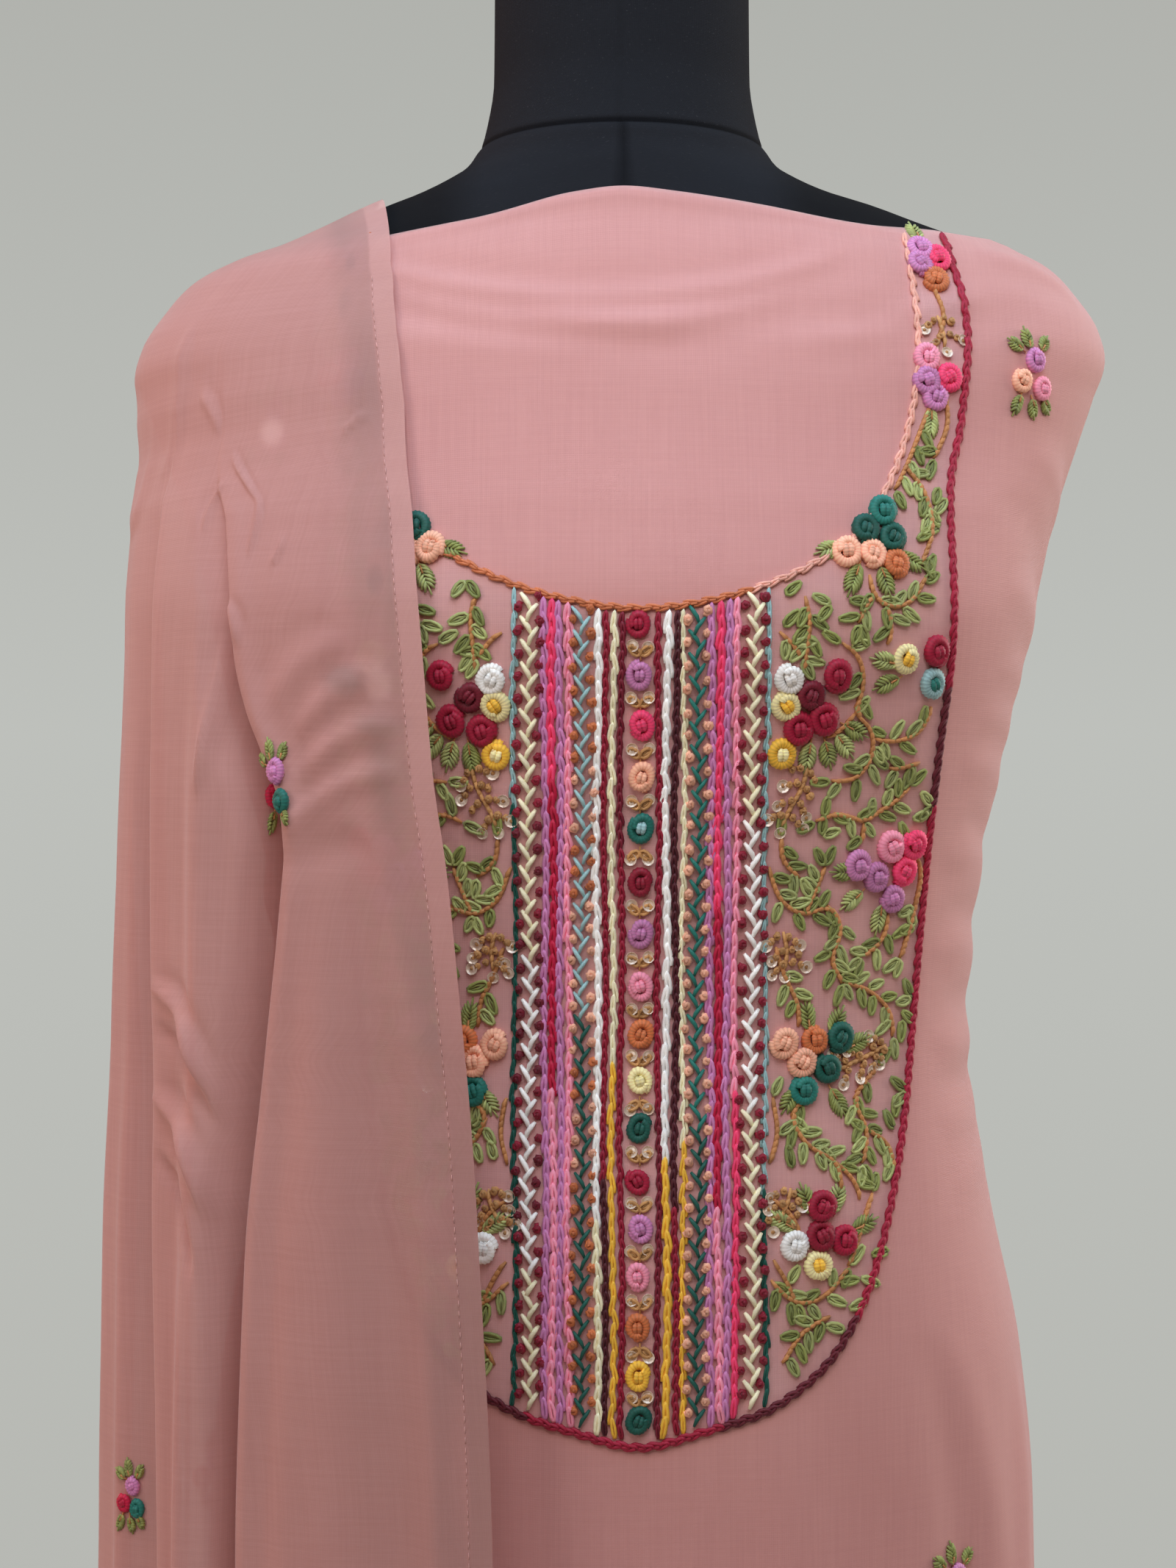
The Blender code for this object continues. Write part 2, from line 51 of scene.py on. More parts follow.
eye = bpy.data.objects.new("eye", bpy.data.cameras.new("eye"))
bpy.context.scene.collection.objects.link(eye)
eye.location = EYE_PLACE
eye.rotation_euler = (math.pi / 2, 0, 0)
eye.data.sensor_fit = "AUTO"
eye.data.sensor_width = EYE_SENSOR
eye.data.lens = EYE_LENS
eye.data.clip_start = 0.02
bpy.context.scene.camera = eye
bpy.context.scene.view_settings.view_transform = "Standard"


class Wire:
    """One output of a node tree. Sums on wires add Math nodes, and node() adds any other node."""

    def __init__(self, tree, socket=None):
        self.tree, self.socket = tree, socket

    def plug(self, slot, value):
        if isinstance(value, Wire):
            self.tree.links.new(value.socket, slot)
        elif isinstance(value, (tuple, list)) and slot.type == "RGBA" and len(value) == 3:
            slot.default_value = (*value, 1.0)
        else:
            slot.default_value = value

    def node(self, kind, settings=None, sockets=None, out=None):
        """A node of this kind; its sockets are values or wires by name, or a list of them in order."""
        made = self.tree.nodes.new("ShaderNode" + kind)
        for name, value in (settings or {}).items():
            if name == "stops":
                stops = made.color_ramp.elements
                while len(stops) < len(value):
                    stops.new(0.5)
                for stop, (place, colour) in zip(stops, value):
                    stop.position, stop.color = place, (*colour, 1.0)
            else:
                setattr(made, name, value)
        open_slots = [slot for slot in made.inputs if slot.enabled]
        if isinstance(sockets, dict):
            for name, value in sockets.items():
                self.plug(next(slot for slot in open_slots if slot.name == name), value)
        else:
            for slot, value in zip(open_slots, sockets or []):
                self.plug(slot, value)
        gives = [slot for slot in made.outputs if slot.enabled and (out is None or slot.name == out)]
        return Wire(self.tree, gives[0] if gives else None)

    def sum(self, operation, *values):
        return self.node("Math", {"operation": operation}, list(values))

    def blend(self, share, first, second, way="MIX"):
        """A colour between two, by a share from 0 to 1."""
        return self.node(
            "Mix", {"data_type": "RGBA", "blend_type": way}, {"Factor": share, "A": first, "B": second}
        )

    def mark(self, name, out="Fac"):
        """What a mesh carries at each of its points under this name."""
        return self.node("Attribute", {"attribute_name": name}, out=out)

    def noise(self, place, scale, detail):
        return self.node("TexNoise", None, {"Vector": place, "Scale": scale, "Detail": detail}, out="Fac")

    def relief(self, shader, strength, distance, height):
        """Small relief on a shader, as a bump."""
        bump = self.node("Bump", None, {"Strength": strength, "Distance": distance, "Height": height})
        self.plug(shader.inputs["Normal"], bump)

    def __add__(self, other):
        return self.sum("ADD", self, other)

    def __sub__(self, other):
        return self.sum("SUBTRACT", self, other)

    def __rsub__(self, other):
        return self.sum("SUBTRACT", other, self)

    def __mul__(self, other):
        return self.sum("MULTIPLY", self, other)

    def __truediv__(self, other):
        return self.sum("DIVIDE", self, other)

    __radd__ = __add__
    __rmul__ = __mul__


def finish(name, roughness=0.8, **fixed):
    """A new material and its Principled shader: (material, wire for new nodes, shader)."""
    made = bpy.data.materials.new(name)
    made.use_nodes = True
    shader = made.node_tree.nodes["Principled BSDF"]
    shader.inputs["Roughness"].default_value = roughness
    for slot, value in fixed.items():
        shader.inputs[slot.replace("_", " ")].default_value = value
    return made, Wire(made.node_tree), shader


def painted_floor():
    made, wire, shader = finish("painted_floor", 0.7)
    place = wire.node("TexCoord", out="Object")
    cloud = wire.noise(place, 3.0, 4.0)
    wire.plug(shader.inputs["Base Color"], wire.blend(cloud, (0.70, 0.71, 0.68), (0.77, 0.78, 0.75)))
    grain = wire.noise(place, 60.0, 2.0)
    wire.plug(shader.inputs["Normal"], wire.node("Bump", None, {"Strength": 0.05, "Height": grain}))
    return made


def put(name, points, faces, material):
    """A mesh of these points and faces, in this material, as an object in the scene."""
    mesh = bpy.data.meshes.new(name)
    mesh.from_pydata(points, [], faces)
    mesh.materials.append(material)
    made = bpy.data.objects.new(name, mesh)
    bpy.context.scene.collection.objects.link(made)
    return made


FLOOR_RADIUS, FLOOR_SIDES, FLOOR_GAP = 1.7, 96, 0.0005
floor_turns = [2 * math.pi * side / FLOOR_SIDES for side in range(FLOOR_SIDES)]
floor_rim = [(FLOOR_RADIUS * math.cos(a), FLOOR_RADIUS * math.sin(a), 0.0) for a in floor_turns]
floor = put("floor", floor_rim, [list(range(FLOOR_SIDES))], painted_floor())
floor.location.z = -FLOOR_GAP

world = bpy.data.worlds.new("room")
bpy.context.scene.world = world
world.use_nodes = True
world.node_tree.nodes.clear()
room = Wire(world.node_tree)
height = room.node("SeparateXYZ", None, [room.node("TexCoord", out="Generated")], out="Z")
wall = room.node(
    "ValToRGB",
    {"stops": [(0.20, WALL_FOOT), (0.52, WALL_MIDDLE), (0.80, WALL_TOP)]},
    {"Fac": height + 0.5},
)
seen = room.node("Background", None, {"Color": wall, "Strength": 1.0})
glow = room.node("Background", None, {"Color": ROOM_GLOW, "Strength": 1.0})
by_eye = room.node("LightPath", out="Is Camera Ray")
mixed = room.node("MixShader", None, [by_eye, glow, seen])
room.node("OutputWorld", None, [mixed])


def soft_light(name, place, aim, size, power, colour):
    lamp = bpy.data.lights.new(name, "AREA")
    lamp.shape, lamp.size, lamp.size_y = "RECTANGLE", *size
    lamp.energy, lamp.color = power, colour
    made = bpy.data.objects.new(name, lamp)
    made.location = place
    made.rotation_euler = (Vector(aim) - Vector(place)).to_track_quat("-Z", "Y").to_euler()
    made.visible_camera = False
    bpy.context.scene.collection.objects.link(made)


soft_light("ceiling_light", (0.1, -0.9, 1.95), (0, 0, 1.3), (0.9, 0.7), 7.2, (1.00, 1.0, 1.03))
soft_light("sky_light", (0, -0.35, 2.5), (0, 0, 1.2), (1.4, 1.2), 10.5, (0.56, 0.93, 1.28))
soft_light("window_light", (-1.7, -1.5, 1.9), (0, 0, 1.15), (1.2, 1.2), 13.0, (1.03, 0.97, 0.93))
soft_light("right_wall_light", (1.6, 0.5, 1.6), (0, 0, 1.15), (1.2, 1.2), 19.8, (1.00, 0.95, 0.88))
soft_light("left_wall_light", (-1.6, 0.5, 1.6), (0, 0, 1.15), (1.2, 1.2), 10.0, (1.35, 0.85, 0.70))
soft_light("back_light", (0.1, 2.4, 1.15), (0, 0, 1.0), (1.6, 1.4), 26.0, (1.00, 0.98, 0.95))


# Stand. A turned steel base and pole under the torso, and a cap in the top of the neck, all in black
# enamel: the coat is smooth, with a faint orange peel and a duller rub where hands and feet reach it.
def black_enamel():
    made, wire, shader = finish("black_enamel", 0.35, Coat_Weight=0.3, Coat_Roughness=0.2)
    place = wire.node("TexCoord", out="Object")
    rub, peel = wire.noise(place, 14.0, 5.0), wire.noise(place, 420.0, 1.0)
    wire.plug(shader.inputs["Base Color"], wire.blend(rub, (0.010, 0.010, 0.012), (0.022, 0.022, 0.024)))
    wire.plug(shader.inputs["Roughness"], rub * 0.3 + 0.2)
    wire.relief(shader, 0.12, 0.0004, peel)
    return made


enamel = black_enamel()
for hard_piece in ("stand_base", "stand_pole", "form_neck_cap"):
    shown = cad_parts[hard_piece]
    shown.data.materials.clear()
    shown.data.materials.append(enamel)


# Dress form. A smooth torso in black stretch jersey, with a neck seam, a seam down the centre front and one
# down the back. Its level sections are rows of half width, front, back and fullness, from the neck down.
NECK_SEAM, FORM_TOP, FORM_FOOT = 1.3995, 1.490, 0.735
FORM_DEGREES = 3.0
# the shoulder at +X stands a little higher: by a share of x, between these places and these levels
TILT, TILT_REACH, TILT_LEVELS = 0.022, (0.055, 0.150), (1.18, 1.31)
LEAN_LEVELS = (1.22, 1.29)        # above these an ease moves out square to the slope of the shoulder


class Sections:
    """Rows of sizes against their first column, read between rows along a curve that never overshoots."""

    def __init__(self, *rows):
        rows = np.array(sorted(rows), float)
        self.keys, self.sizes = rows[:, 0], rows[:, 1:]
        steps = np.diff(self.sizes, axis=0) / np.diff(self.keys)[:, None]
        same_way = steps[1:] * steps[:-1] > 0
        total = np.where(same_way, steps[1:] + steps[:-1], 1.0)
        inner = np.where(same_way, 2 * steps[1:] * steps[:-1] / total, 0.0)
        self.slopes = np.vstack([steps[:1], inner, steps[-1:]])

    def at(self, where):
        """The sizes at these places, one array for each column."""
        where = np.clip(np.asarray(where, float), self.keys[0], self.keys[-1])
        row = np.clip(np.searchsorted(self.keys, where) - 1, 0, len(self.keys) - 2)
        span = (self.keys[row + 1] - self.keys[row])[..., None]
        u = (where - self.keys[row])[..., None] / span
        sizes = (
            self.sizes[row] * (1 + 2 * u) * (1 - u) ** 2
            + self.sizes[row + 1] * u * u * (3 - 2 * u)
            + span * (self.slopes[row] * u * (1 - u) ** 2 - self.slopes[row + 1] * u * u * (1 - u))
        )
        return np.moveaxis(sizes, -1, 0)


BODY = Sections(
    (1.4900, 0.0555, 0.0500, 0.0550, 0.00),
    (1.4300, 0.0560, 0.0510, 0.0560, 0.00),
    (1.4100, 0.0590, 0.0545, 0.0590, 0.00),
    (1.3985, 0.0625, 0.0575, 0.0620, 0.00),
    (1.3890, 0.0700, 0.0610, 0.0655, 0.00),
    (1.3835, 0.0790, 0.0635, 0.0680, 0.00),
    (1.3762, 0.0950, 0.0665, 0.0710, 0.00),
    (1.3695, 0.1150, 0.0692, 0.0740, 0.00),
    (1.3612, 0.1350, 0.0725, 0.0772, 0.00),
    (1.3534, 0.1550, 0.0755, 0.0800, 0.01),
    (1.3485, 0.1710, 0.0778, 0.0820, 0.01),
    (1.3402, 0.1870, 0.0815, 0.0855, 0.02),
    (1.3300, 0.1965, 0.0855, 0.0885, 0.02),
    (1.3145, 0.2065, 0.0915, 0.0925, 0.03),
    (1.3030, 0.2092, 0.0955, 0.0950, 0.04),
    (1.2870, 0.2035, 0.1010, 0.0975, 0.06),
    (1.2700, 0.1920, 0.1055, 0.0990, 0.08),
    (1.2500, 0.1780, 0.1115, 0.1000, 0.12),
    (1.2300, 0.1670, 0.1180, 0.1000, 0.16),
    (1.1900, 0.1550, 0.1270, 0.0970, 0.20),
    (1.1400, 0.1420, 0.1150, 0.0910, 0.18),
    (1.0800, 0.1265, 0.0970, 0.0840, 0.12),
    (1.0200, 0.1200, 0.0880, 0.0800, 0.10),
    (0.9400, 0.1460, 0.0960, 0.0940, 0.12),
    (0.8800, 0.1630, 0.1000, 0.1080, 0.15),
    (0.8200, 0.1675, 0.0980, 0.1130, 0.15),
    (0.7350, 0.1640, 0.0940, 0.1100, 0.15),
    (0.0500, 0.1640, 0.0940, 0.1100, 0.15),
)


def mix(a, b, share):
    return a + (b - a) * share


def ramp(value, low, high):
    """0 at low, 1 at high, with soft ends."""
    u = np.clip((value - low) / (high - low), 0.0, 1.0)
    return u * u * (3 - 2 * u)


def bell(value):
    """1 at 0, falling off softly on both sides."""
    return np.exp(-value * value)


def layer(turn, z, ease):
    """Points at these turns (degrees from the centre front, + to +X) and levels, moved out by an ease."""
    turn, z = np.broadcast_arrays(np.asarray(turn, float), np.asarray(z, float))
    step = 0.0015        # the slope is read this far above and below
    width, front, back, fullness = BODY.at(z)
    above, below = BODY.at(z + step), BODY.at(z - step)
    sine, cosine = np.sin(np.radians(turn)), np.cos(np.radians(turn))
    before = cosine >= 0
    lean = ramp(z, *LEAN_LEVELS) / (2 * step)
    width_slope = (above[0] - below[0]) * lean
    depth_slope = np.where(before, above[1] - below[1], above[2] - below[2]) * lean
    width_lean = ease[1] / np.hypot(1, width_slope)
    depth_lean = np.where(before, ease[0], ease[2]) / np.hypot(1, depth_slope)
    x = (width + width_lean) * sine
    y = -(np.where(before, front, back) + depth_lean) * cosine * (1 + fullness * sine * sine)
    z = z - width_slope * width_lean * sine * sine - depth_slope * depth_lean * cosine * cosine
    tilt = TILT * x * ramp(np.abs(x), *TILT_REACH) * ramp(z, *TILT_LEVELS)
    return np.stack([x, y, z + tilt], axis=-1)


def levels(*stops):
    """Levels between pairs of (level, step to the next stop)."""
    found = [stops[0][0]]
    for (upper, step), (lower, _) in zip(stops, stops[1:]):
        count = math.ceil(abs(upper - lower) / step)
        found += [mix(upper, lower, k / count) for k in range(1, count + 1)]
    return np.array(found)


def out_of(points):
    """Unit normals of a grid of points, away from the object for rows that run down and columns that turn
    towards +X."""
    down = np.gradient(points, axis=0)
    across = np.gradient(points, axis=1)
    normal = np.cross(down, across)
    return normal / np.maximum(np.linalg.norm(normal, axis=-1, keepdims=True), 1e-12)


def lay_of(points):
    """Where each point of a grid lies on the flat cloth, in metres: across it, down it."""
    across = np.linalg.norm(np.diff(points, axis=1), axis=-1)
    across = np.concatenate([np.zeros((len(points), 1)), np.cumsum(across, axis=1)], axis=1)
    across -= across[:, across.shape[1] // 2, None]
    down = np.linalg.norm(np.diff(points, axis=0), axis=-1).mean(axis=1)
    down = np.concatenate([[0.0], np.cumsum(down)])
    return np.stack([across, np.broadcast_to(down[:, None], across.shape), 0 * across], axis=-1)


def woven(name, points, material, wall=0.0, closed=False, gaps=(), marks=None):
    """A piece through a grid of points: one layer, or with a wall a thin shell with its edges closed.
    gaps are the quads left out, and marks more values for its points."""
    rows, columns = points.shape[:2]
    r, c = np.meshgrid(np.arange(rows - 1), np.arange(columns if closed else columns - 1), indexing="ij")
    here, there, onward = r * columns, (r + 1) * columns, (c + 1) % columns
    quads = np.stack([here + c, there + c, there + onward, here + onward], axis=-1)
    keep = np.ones(quads.shape[:2], bool)
    for gap in gaps:
        keep[gap] = False
    quads = quads[keep]
    spots, lay = points.reshape(-1, 3), lay_of(points).reshape(-1, 3)
    faces = quads
    if wall:
        count = len(spots)
        inside = spots - out_of(points).reshape(-1, 3) * wall
        edges = {}
        for quad in quads:
            for a, b in zip(quad, np.roll(quad, -1)):
                edges[a, b] = True
        rim = [(b, a, a + count, b + count) for a, b in edges if (b, a) not in edges]
        faces = np.vstack([quads, quads[:, ::-1] + count, np.array(rim)])
        spots, lay = np.vstack([spots, inside]), np.vstack([lay, lay])
    made = put(name, spots.tolist(), faces.tolist(), material)
    attributes = made.data.attributes
    attributes.new("lay", "FLOAT_VECTOR", "POINT").data.foreach_set("vector", lay.ravel())
    for mark, values in (marks or {}).items():
        values = np.tile(values.ravel(), 2 if wall else 1)
        attributes.new(mark, "FLOAT", "POINT").data.foreach_set("value", values)
    made.data.shade_smooth()
    return made


def form_shape():
    """Rows of points from the top of the neck to the foot, with the neck seam pressed in."""
    rows = levels((FORM_TOP, 0.006), (1.405, 0.0012), (1.392, 0.0025), (1.30, 0.012), (FORM_FOOT, 0))
    turn, z = np.meshgrid(np.arange(0, 360, FORM_DEGREES), rows)
    off = z - NECK_SEAM
    press = 0.0005 * bell((off + 0.004) / 0.003) - 0.0007 * bell(off / 0.0011)
    return layer(turn, z, (press, press, press)), turn, z


def middle_of(ring):
    """As many points as a ring has, all of them in its middle."""
    return np.repeat(ring.mean(axis=1, keepdims=True), ring.shape[1], axis=1)


def flat_cloth(wire):
    """Where a point lies on the flat cloth, in metres: the vector, across it and down it."""
    lay = wire.mark("lay", "Vector")
    return (lay, *(wire.node("SeparateXYZ", None, [lay], out=axis) for axis in ("X", "Y")))


def yarns(along, pitch, wander=None):
    """Waves this far apart, for yarns that lie side by side and may wander."""
    phase = along * (2 * math.pi / pitch)
    return along.sum("SINE", phase + wander if wander else phase)


def jersey():
    made, wire, shader = finish("black_jersey", 0.9, Specular_IOR_Level=0.08)
    lay, across, down = flat_cloth(wire)
    # the wales of the knit stand 0.9 mm apart and its courses 0.7 mm
    knit = yarns(across, 0.0009) * 0.3 + yarns(down, 0.0007) * 0.2 + 0.5
    cloud, lint = wire.noise(lay, 22.0, 4.0), wire.noise(lay, 900.0, 1.0)
    colour = wire.blend(cloud, (0.0105, 0.0112, 0.0140), (0.0148, 0.0156, 0.0188))
    colour = wire.blend(knit * 0.35, colour, (0.018, 0.0195, 0.024))
    colour = wire.blend((lint - 0.66) * 4.0, colour, (0.045, 0.045, 0.048))
    # painted light and shade: the jersey is painted lighter on the neck and down the middle, darker on the
    # shoulders and sides
    stretch = wire.blend(wire.mark("stretch"), (0.66, 0.62, 0.58), (1.22, 1.22, 1.22))
    colour = wire.blend(1.0, colour, stretch, "MULTIPLY")
    wire.plug(shader.inputs["Base Color"], wire.blend(wire.mark("seam"), colour, (0.003, 0.003, 0.004)))
    wire.relief(shader, 0.35, 0.0003, knit + cloud * 0.6)
    return made


form_points, form_turn, form_z = form_shape()
off_centre = np.abs((form_turn + 90) % 180 - 90)        # degrees from the centre front or back
form_seam = np.clip(1.6 * bell((form_z - NECK_SEAM) / 0.0009), 0, 1)
form_seam = np.maximum(form_seam, np.where(form_z < NECK_SEAM, 0.55 * (off_centre < 0.5), 0))
# painted light and shade: 1 on the neck and down the middle of the front and back, 0 on the shoulders and sides
form_painted_lighting = np.maximum(ramp(form_z, 1.386, 1.393), 1 - ramp(np.abs(form_points[..., 0]), 0.055, 0.080))
form_foot, form_head = middle_of(form_points[-1:]), middle_of(form_points[:1])
form_points = np.concatenate([
    form_head, mix(form_points[:1], form_head, 0.5), form_points,
    mix(form_points[-1:], form_foot, 0.5), form_foot,
])
form_marks = {"seam": form_seam, "stretch": form_painted_lighting}
form_marks = {name: np.pad(mark, ((2, 2), (0, 0)), "edge") for name, mark in form_marks.items()}
dress_form = woven("dress_form", form_points, jersey(), closed=True, marks=form_marks)
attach(dress_form, "root")
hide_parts("form_body")


# Kameez. A front and a back panel of peach georgette, a light crepe weave of tightly twisted yarn, joined
# at the shoulders and the sides down to the slits. It isn't sewn to its last shape yet, so its upper edge
# runs over the shoulders from side to side, and the cloth is drawn round the form with soft strains.
KAMEEZ_WALL, KAMEEZ_LIFT, LEAST_EASE = 0.0006, 0.0003, 0.0011
KAMEEZ_TOP, KAMEEZ_HEM, KAMEEZ_SLIT = 1.366, 0.330, 0.800
NECK_EDGE_FADES = 1.310        # the level where the rows of the cloth no longer follow the upper edge
# each side of the front panel by its turn in degrees, down to the slits and at the hem, and the gap beside it
KAMEEZ_WRAP, KAMEEZ_HEM_WRAP, SIDE_GAP = 97.0, 76.0, 0.12
# rows of level and ease over the form: in front, at the sides and behind
KAMEEZ_EASE = Sections(
    (1.400, 0.0013, 0.0013, 0.0013),
    (1.330, 0.0014, 0.0014, 0.0014),
    (1.290, 0.0018, 0.0018, 0.0018),
    (1.270, 0.0020, 0.0073, 0.0040),
    (1.250, 0.0020, 0.0138, 0.0060),
    (1.230, 0.0021, 0.0190, 0.0080),
    (1.190, 0.0022, 0.0226, 0.0100),
    (1.140, 0.0055, 0.0242, 0.0140),
    (1.080, 0.0140, 0.0284, 0.0180),
    (1.020, 0.0180, 0.0302, 0.0200),
    (0.940, 0.0150, 0.0148, 0.0140),
    (0.880, 0.0100, 0.0100, 0.0090),
    (0.820, 0.0105, 0.0112, 0.0088),
    (0.735, 0.0170, 0.0174, 0.0130),
    (0.600, 0.0270, 0.0270, 0.0200),
    (0.330, 0.0400, 0.0450, 0.0320),
)
# the upper edges: rows of turn and level
FRONT_NECK_EDGE = Sections(
    (-97, 1.3575), (-80, 1.3540), (-63, 1.3495), (-44, 1.3474), (-25, 1.3541), (-10, 1.3651), (0, 1.3678),
    (10, 1.3656), (25, 1.3606), (44, 1.3523), (63, 1.3519), (80, 1.3550), (97, 1.3575),
)
BACK_NECK_EDGE = Sections(
    (-97, 1.3575), (-120, 1.3540), (-150, 1.3620), (-180, 1.3700), (-210, 1.3620), (-240, 1.3540),
    (-263, 1.3575),
)
Fold = namedtuple("Fold", "top_turn hem_turn half_width depth begins full")
KAMEEZ_FRONT_FOLDS = (
    Fold(-64, -60, 13, 0.006, 0.86, 0.36),
    Fold(-31, -27, 11, 0.005, 0.80, 0.34),
    Fold(3, 1, 12, -0.007, 0.74, 0.34),
    Fold(29, 30, 12, 0.009, 0.84, 0.36),
    Fold(63, 62, 13, 0.013, 0.88, 0.35),
)
KAMEEZ_BACK_FOLDS = (
    Fold(-118, -120, 13, 0.010, 0.84, 0.36),
    Fold(-150, -148, 13, 0.009, 0.78, 0.34),
    Fold(-181, -180, 14, -0.006, 0.76, 0.34),
    Fold(-214, -212, 13, 0.010, 0.82, 0.35),
    Fold(-240, -238, 12, 0.009, 0.86, 0.36),
)

# A strain in the cloth runs from one turn and level to another, bowed by a share of its length; width and
# height are in metres, and a trough has a height below zero.
Strain = namedtuple("Strain", "turn z to_turn to_z bow width height")
KAMEEZ_DEGREE = 0.0023        # metres of cloth to a degree
KAMEEZ_FRONT_STRAINS = (
    # under the upper edge, where it is drawn from shoulder to shoulder
    Strain(-33, 1.337, 30, 1.343, -0.15, 0.0045, 0.0022),
    Strain(-38, 1.331, 44, 1.333, -0.17, 0.0060, -0.0010),
    Strain(-30, 1.325, 22, 1.324, -0.15, 0.0055, 0.0018),
    Strain(-12, 1.314, 47, 1.323, -0.12, 0.0070, 0.0014),
    Strain(-34, 1.312, 8, 1.305, -0.10, 0.0080, 0.0014),
    Strain(20, 1.312, 58, 1.318, -0.08, 0.0065, -0.0011),
    Strain(52, 1.339, 74, 1.324, 0.10, 0.0055, 0.0015),
    # off the bust to the right side
    Strain(58, 1.262, 84, 1.228, 0.12, 0.0070, 0.0011),
    Strain(54, 1.240, 80, 1.198, 0.10, 0.0090, -0.0009),
    Strain(60, 1.205, 88, 1.176, 0.06, 0.0080, 0.0010),
    # short ripples stacked down the drawn-in right side
    Strain(63, 1.171, 92, 1.158, 0.05, 0.0060, 0.00063),
    Strain(60, 1.150, 90, 1.139, 0.04, 0.0065, 0.00070),
    Strain(57, 1.131, 93, 1.114, 0.04, 0.0070, 0.00091),
    Strain(62, 1.110, 92, 1.096, -0.03, 0.0060, -0.00063),
    Strain(56, 1.094, 92, 1.077, 0.05, 0.0080, 0.00098),
    Strain(60, 1.071, 94, 1.058, 0.03, 0.0065, -0.00070),
    Strain(55, 1.054, 93, 1.043, 0.04, 0.0080, 0.00105),
    Strain(62, 1.034, 92, 1.029, 0.00, 0.0060, -0.00063),
    Strain(57, 1.018, 94, 1.015, -0.04, 0.0075, 0.00098),
    Strain(60, 0.999, 92, 1.003, -0.04, 0.0065, -0.00063),
    Strain(58, 0.983, 93, 0.992, -0.06, 0.0080, 0.00070),
    Strain(60, 0.958, 90, 0.975, -0.08, 0.0090, 0.00056),
    # the same on the left side, under the shawl
    Strain(-60, 1.262, -86, 1.230, -0.12, 0.0080, 0.0010),
    Strain(-58, 1.160, -91, 1.150, -0.05, 0.0070, 0.0012),
    Strain(-61, 1.131, -92, 1.119, -0.04, 0.0080, 0.0016),
    Strain(-57, 1.102, -92, 1.086, -0.05, 0.0070, -0.0013),
    Strain(-60, 1.078, -93, 1.066, -0.04, 0.0080, 0.0018),
    Strain(-58, 1.046, -92, 1.040, 0.02, 0.0075, 0.0017),
    Strain(-61, 1.021, -93, 1.020, 0.03, 0.0065, -0.0012),
    Strain(-57, 0.996, -92, 1.002, 0.06, 0.0085, 0.0014),
    # long soft lines from the bust and hips down the front
    Strain(34, 1.180, 42, 0.930, 0.04, 0.0130, -0.0016),
    Strain(-32, 1.172, -40, 0.950, -0.04, 0.0120, -0.0014),
    Strain(17, 0.905, 22, 0.560, 0.03, 0.0120, 0.0026),
    Strain(-14, 0.890, -18, 0.520, -0.03, 0.0140, -0.0028),
    Strain(46, 0.900, 52, 0.560, 0.03, 0.0110, -0.0030),
    Strain(74, 0.880, 70, 0.520, -0.03, 0.0100, 0.0034),
    Strain(-47, 0.870, -44, 0.500, 0.02, 0.0110, 0.0030),
    Strain(-76, 0.850, -71, 0.480, 0.02, 0.0100, -0.0030),
    Strain(11, 0.640, 14, 0.350, 0.02, 0.0090, 0.0030),
    Strain(39, 0.600, 43, 0.345, 0.02, 0.0085, -0.0034),
    Strain(-9, 0.560, -8, 0.350, -0.02, 0.0090, 0.0028),
    Strain(-52, 0.580, -50, 0.345, 0.02, 0.0090, -0.0030),
)
